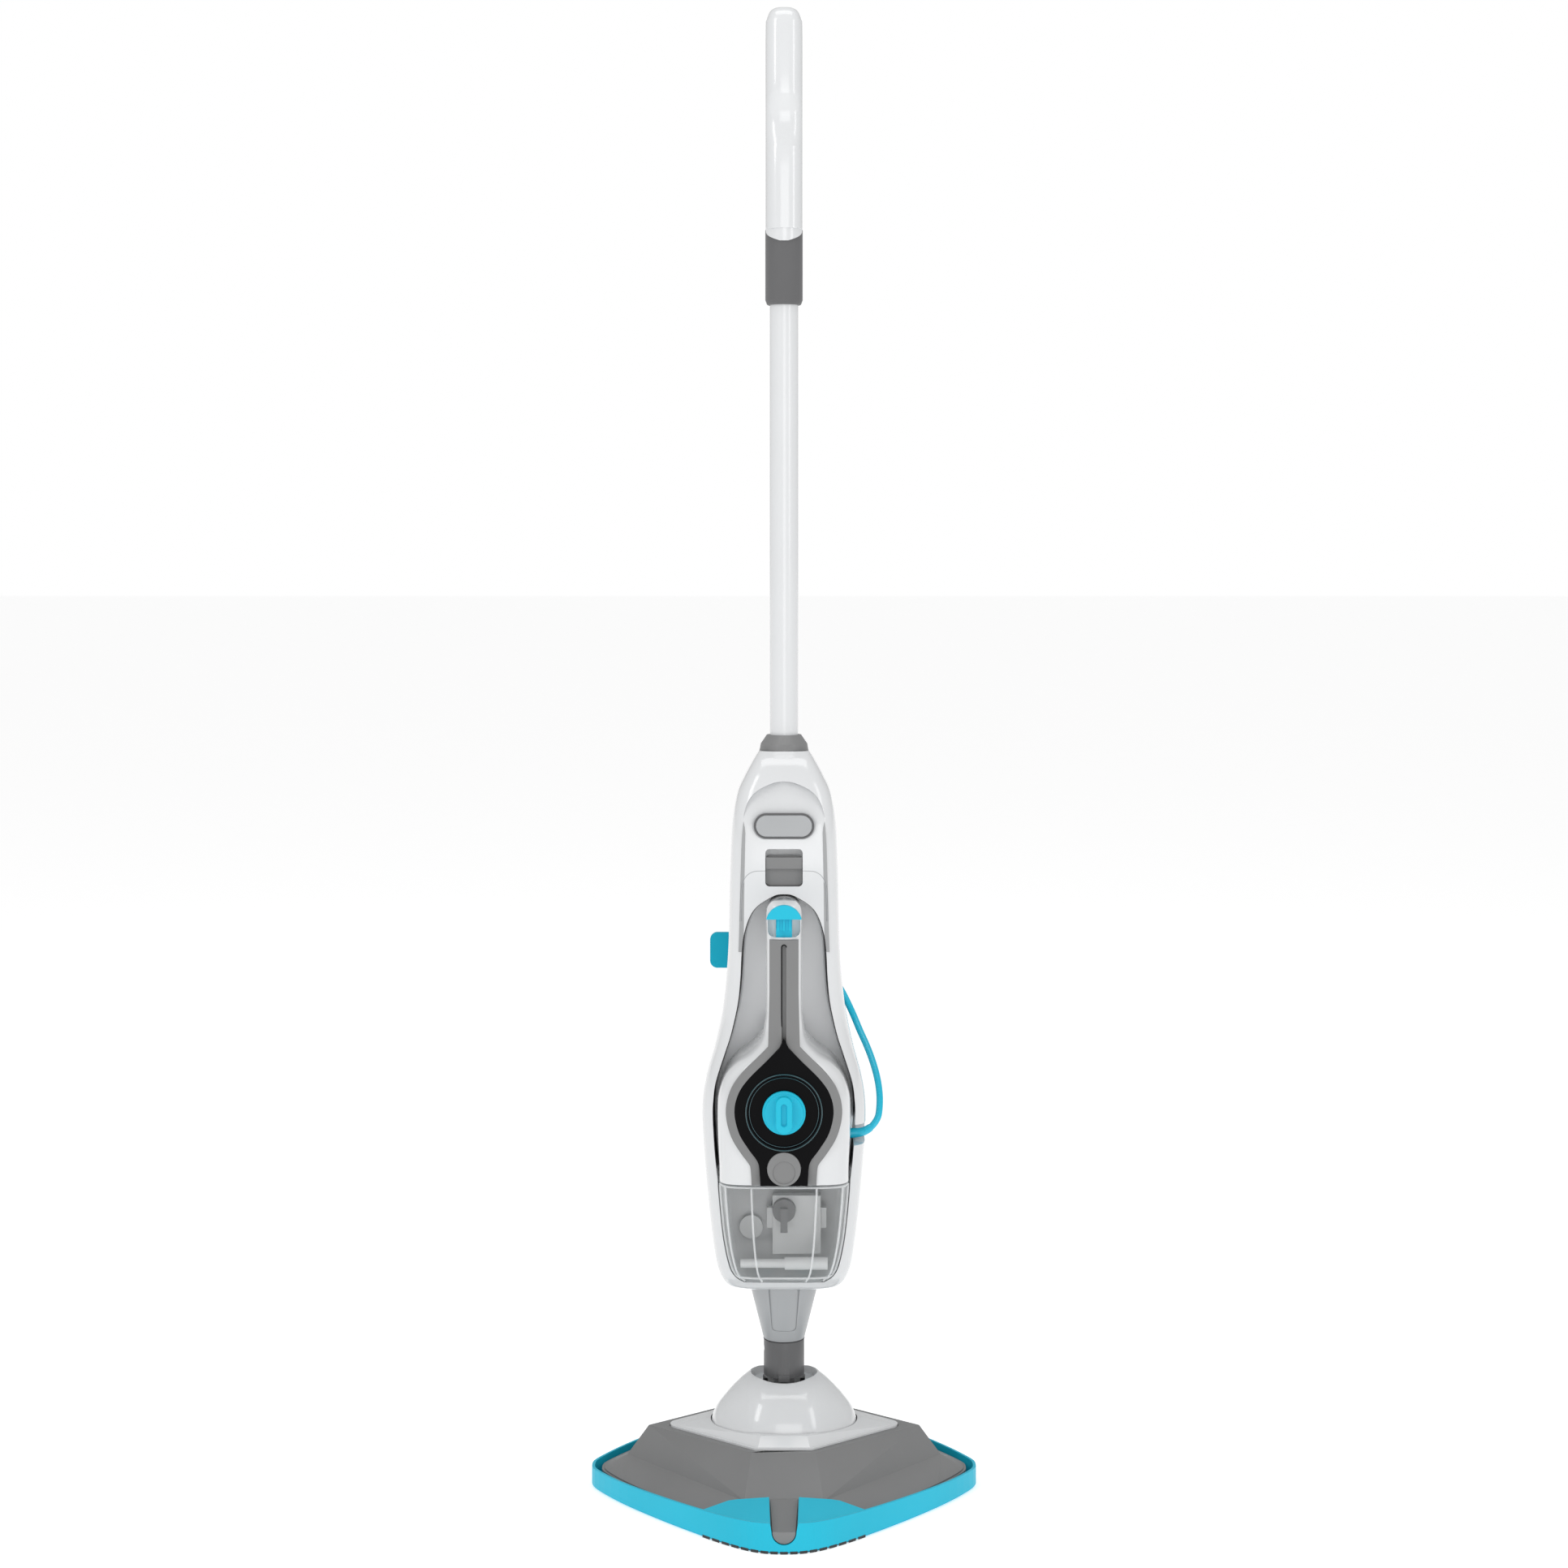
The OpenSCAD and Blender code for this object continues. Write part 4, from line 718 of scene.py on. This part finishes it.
# ---- Cone with its set-back front panel, and the seam under it ----
seam = [(p[0], p[1], 116.4) for p in circle(0, 0, 16.05, 96)]
dress(tube("neck_seam", seam + seam[:1], 0.35, 8), "black_plastic", "mop_body")
cone = lathe("neck_cone", [(15.2, 116), (16.2, 117), (28.2, 164), (28.3, 165)])
panel = prism("cone_panel", [(-9.5, 126), (9.5, 126), (14.5, 190), (-14.5, 190)], -60, 0)
round_edges(panel, 3)
apply_modifiers(panel)
carve(panel, [lathe("core", [(14.2, 110), (27.3, 166), (32, 195)])])
carve(cone, [panel])
round_edges(cone, 0.6)
dress(cone, "silver_plastic", "mop_body", ["cone_neck"])

# ---- Outline of the floor head, from above ----
HEAD_HALF_W, HEAD_HALF_D = 152, 160
HEAD_QUARTER = smooth([(HEAD_HALF_W, 0), (149, 14), (128, 47), (94, 88), (57, 127), (32, 149), (15, 158),
                       (0, HEAD_HALF_D)])


def head_outline(inset):
    """The head's closed outline, drawn in all round."""
    sx, sy = (HEAD_HALF_W - inset) / HEAD_HALF_W, (HEAD_HALF_D - inset) / HEAD_HALF_D
    quarter = [Vector((p[0] * sx, p[1] * sy)) for p in HEAD_QUARTER]
    half = quarter + [Vector((-p[0], p[1])) for p in reversed(quarter[:-1])]
    return half + [Vector((p[0], -p[1])) for p in reversed(half[1:-1])]


def front_edge(x, inset):
    """Y of the head's front outline at a distance x from the middle."""
    return -across([(p[1], p[0]) for p in head_outline(inset)[:len(HEAD_QUARTER)]], abs(x))


# ---- Microfibre pad ----
PAD_INSET = 8.6
PILE_GRAIN, PILE_RELIEF = 0.35, 0.35


def pad_ring(scale, z):
    """One ring of the pad, uneven by the height of its pile."""
    ring = []
    for p in head_outline(PAD_INSET):
        x, y = p[0] * scale, p[1] * scale
        pile = noise.noise(Vector((x, y, z)) * PILE_GRAIN) * PILE_RELIEF
        ring.append((x, y, z + pile))
    return ring


pad_rings = [pad_ring(k / 30, 3.1) for k in range(1, 30)]
pad_rings += [pad_ring(0.997, 3.6), pad_ring(1.0, 5.4), pad_ring(0.997, 7.1)]
pad_rings += [pad_ring(k / 30, 7.5) for k in range(29, 0, -1)]
pad = loft("floor_pad", pad_rings)
dress(pad, "microfibre", "floor_head", ["microfibre_pad"])

# ---- Small pieces that the CAD leaves out or keeps plain ----
# Black blocks along the foot of the glider's front edge, shaped as vents: painted shade
VENT_SHADE_PITCH = 7.3
for number in range(-8, 9):
    vent_shade_rings = []
    for x in [VENT_SHADE_PITCH * number + reach for reach in (-2.8, -1, 1, 2.8)]:
        y_out, y_in = front_edge(x, 0.5), front_edge(x, 2)
        vent_shade_rings.append([(x, y_out, 0.2), (x, y_in, 0.2), (x, y_in, 2.3), (x, y_out, 2.3)])
    dress(loft("vent_%d" % (number + 9), vent_shade_rings), "black_plastic", "floor_head")

# Tie round the hank's right-hand runs
tie = prism("cord_tie", rounded_box(27.6, 365, 19.6, 10, 0.8), 52.2, 76.7)
carve(tie, [box_prism("inside", 18.8, 36.4, 350, 380, 53.1, 75.8)])
round_edges(tie, 0.4)
dress(tie, "black_plastic", "mop_body")

# Tapered strain relief, from inside the gland out along the lead
relief_path = [(x, *LEAD_ROUTE[0][1:]) for x in (43.9, 48, 52)] + cord_path[:9]
relief = tube("strain_relief", relief_path, 4.3, end_radius=3.1)
dress(relief, "cord_sheath", "handheld_unit", ["cord_gland"])

# Two fine teal rings round the dial
for number, (r, y, thick) in enumerate(((29.2, -76.3, 0.55), (26.6, -75.4, 0.3))):
    ring_line = [(p[0], y, p[1]) for p in circle(0, DIAL_Z, r, 96)]
    dress(tube("dial_line_%d" % number, ring_line + ring_line[:1], thick, 8), "teal_ring",
          "handheld_unit")

# ---- CAD pieces that keep their shape ----
KEPT = {
    "turquoise_plastic": ["carpet_glider", "trigger", "dial_knob"],
    "hook_plastic": ["lower_cord_hook", "upper_cord_hook"],
    "cord_sheath": ["plug"],
    "grey_plastic": ["sole_plate", "head_base", "unit_latch", "tank_button", "pole_collar"],
    "white_gloss": ["head_top_plate", "swivel_dome"],
    "dark_plastic": ["trunnion_caps", "swivel_yoke", "neck_tube", "steam_socket", "tank_valve",
                     "tank_seat"],
    "black_plastic": ["steam_nozzle", "steam_spout", "trigger_switch", "pump"],
    "steel": ["head_screws", "swivel_pin", "latch_spring", "rear_screws", "unit_screws",
              "trigger_spring", "button_spring"],
    "brass": ["plug_pins"],
    "silver_plastic": ["badge_plate"],
    "panel_plastic": ["docking_bay"],
    "seal_rubber": ["socket_seal"],
    "hose_rubber": ["body_steam_pipe", "feed_hose"],
    "pole_paint": ["pole_tube"],
    "soft_grey": ["grip_sleeve"],
    "black_gloss": ["fascia", "dial_ring"],
    "boiler_metal": ["boiler"],
    "pale_plastic": ["thermostat", "filter_cartridge", "pickup_tube", "filler_cap"],
}
EDGE_RADII = {
    "carpet_glider": 0.7, "head_base": 1.2, "head_top_plate": 0.6, "swivel_dome": 1.0,
    "neck_tube": 0.5, "pole_collar": 0.8, "grip_sleeve": 1.0, "fascia": 0.8, "dial_ring": 0.6,
    "dial_knob": 0.9, "tank_button": 0.9, "trigger": 0.9, "unit_latch": 0.7, "badge_plate": 0.6,
    "lower_cord_hook": 1.4, "upper_cord_hook": 1.4, "plug": 2.5, "filter_cartridge": 0.8,
    "tank_valve": 0.5, "docking_bay": 0.4,
}
for look, nodes in KEPT.items():
    for node in nodes:
        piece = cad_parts[node]
        piece.data.materials.clear()
        piece.data.materials.append(MATERIALS[look])
        if node in EDGE_RADII:
            # Flat faces become one face each, so that only real edges are rounded
            weld = piece.modifiers.new("weld", "WELD")
            weld.merge_threshold = 0.01 * MM
            flat = piece.modifiers.new("flat", "DECIMATE")
            flat.decimate_type = "DISSOLVE"
            flat.angle_limit = math.radians(0.6)
            round_edges(piece, EDGE_RADII[node])

# Springs, with joint, axis, held end and share of the length kept; here each only gets a mesh of its own
SPRINGS = {
    "latch_spring": ("latch_slide", (0, 0, 1), (0, -32.5, 494), 0.66),
    "trigger_spring": ("trigger_press", (0, 0, 1), (0, -62.5, 423), 0.66),
    "button_spring": ("button_press", (0, 1, 0), (0, -61.1, BUTTON_Z), 0.37),
}
for spring, (joint, axis, held_end, keep) in SPRINGS.items():
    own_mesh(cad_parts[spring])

# ---- Studio ----
FLOOR_HALF = 30  # metres
floor_corners = [(sx * FLOOR_HALF, sy * FLOOR_HALF, 0) for sx, sy in ((-1, -1), (1, -1), (1, 1), (-1, 1))]
floor_mesh = bpy.data.meshes.new("studio_floor")
floor_mesh.from_pydata(floor_corners, [], [(0, 1, 2, 3)])
floor = bpy.data.objects.new("studio_floor", floor_mesh)
bpy.context.collection.objects.link(floor)
paper = surface("studio_paper", (0.84, 0.84, 0.84), 0.95, grain=200, vary=0.004, specular=0.1)
paper_shader = paper.node_tree.nodes["Principled BSDF"]
paper_shader.inputs["Emission Color"].default_value = (1, 1, 1, 1)
paper_shader.inputs["Emission Strength"].default_value = 0.5
floor.data.materials.append(paper)

# The room's light is soft and even; the backdrop itself shows as white paper
world = bpy.data.worlds.new("studio")
world.use_nodes = True
sky = world.node_tree.nodes
room = sky["Background"]
room.inputs["Color"].default_value = (1, 1, 1, 1)
room.inputs["Strength"].default_value = 0.55
paper_white = sky.new("ShaderNodeBackground")
paper_white.inputs["Color"].default_value = (1, 1, 1, 1)
paper_white.inputs["Strength"].default_value = 1.0
rays = sky.new("ShaderNodeLightPath")
either = sky.new("ShaderNodeMixShader")
world.node_tree.links.new(rays.outputs["Is Camera Ray"], either.inputs["Fac"])
world.node_tree.links.new(room.outputs["Background"], either.inputs[1])
world.node_tree.links.new(paper_white.outputs["Background"], either.inputs[2])
world.node_tree.links.new(either.outputs["Shader"], sky["World Output"].inputs["Surface"])
bpy.context.scene.world = world


def soft_light(name, place, target, size, watts):
    """A rectangular light that faces its target; places and sizes are in metres."""
    data = bpy.data.lights.new(name, "AREA")
    data.shape = "RECTANGLE"
    data.size, data.size_y = size
    data.energy = watts
    light = bpy.data.objects.new(name, data)
    light.location = place
    light.rotation_euler = (Vector(target) - Vector(place)).to_track_quat("-Z", "Y").to_euler()
    bpy.context.collection.objects.link(light)


soft_light("key", (-1.6, -1.9, 2.2), (0, 0, 0.5), (0.7, 1.8), 15)
soft_light("fill", (1.8, -1.7, 1.5), (0, 0, 0.5), (0.6, 1.8), 8)
soft_light("front", (0.2, -3.2, 0.9), (0, 0, 0.35), (1.2, 1.2), 8)
soft_light("top", (0, -0.4, 3.0), (0, 0, 0.3), (2.0, 1.2), 16)
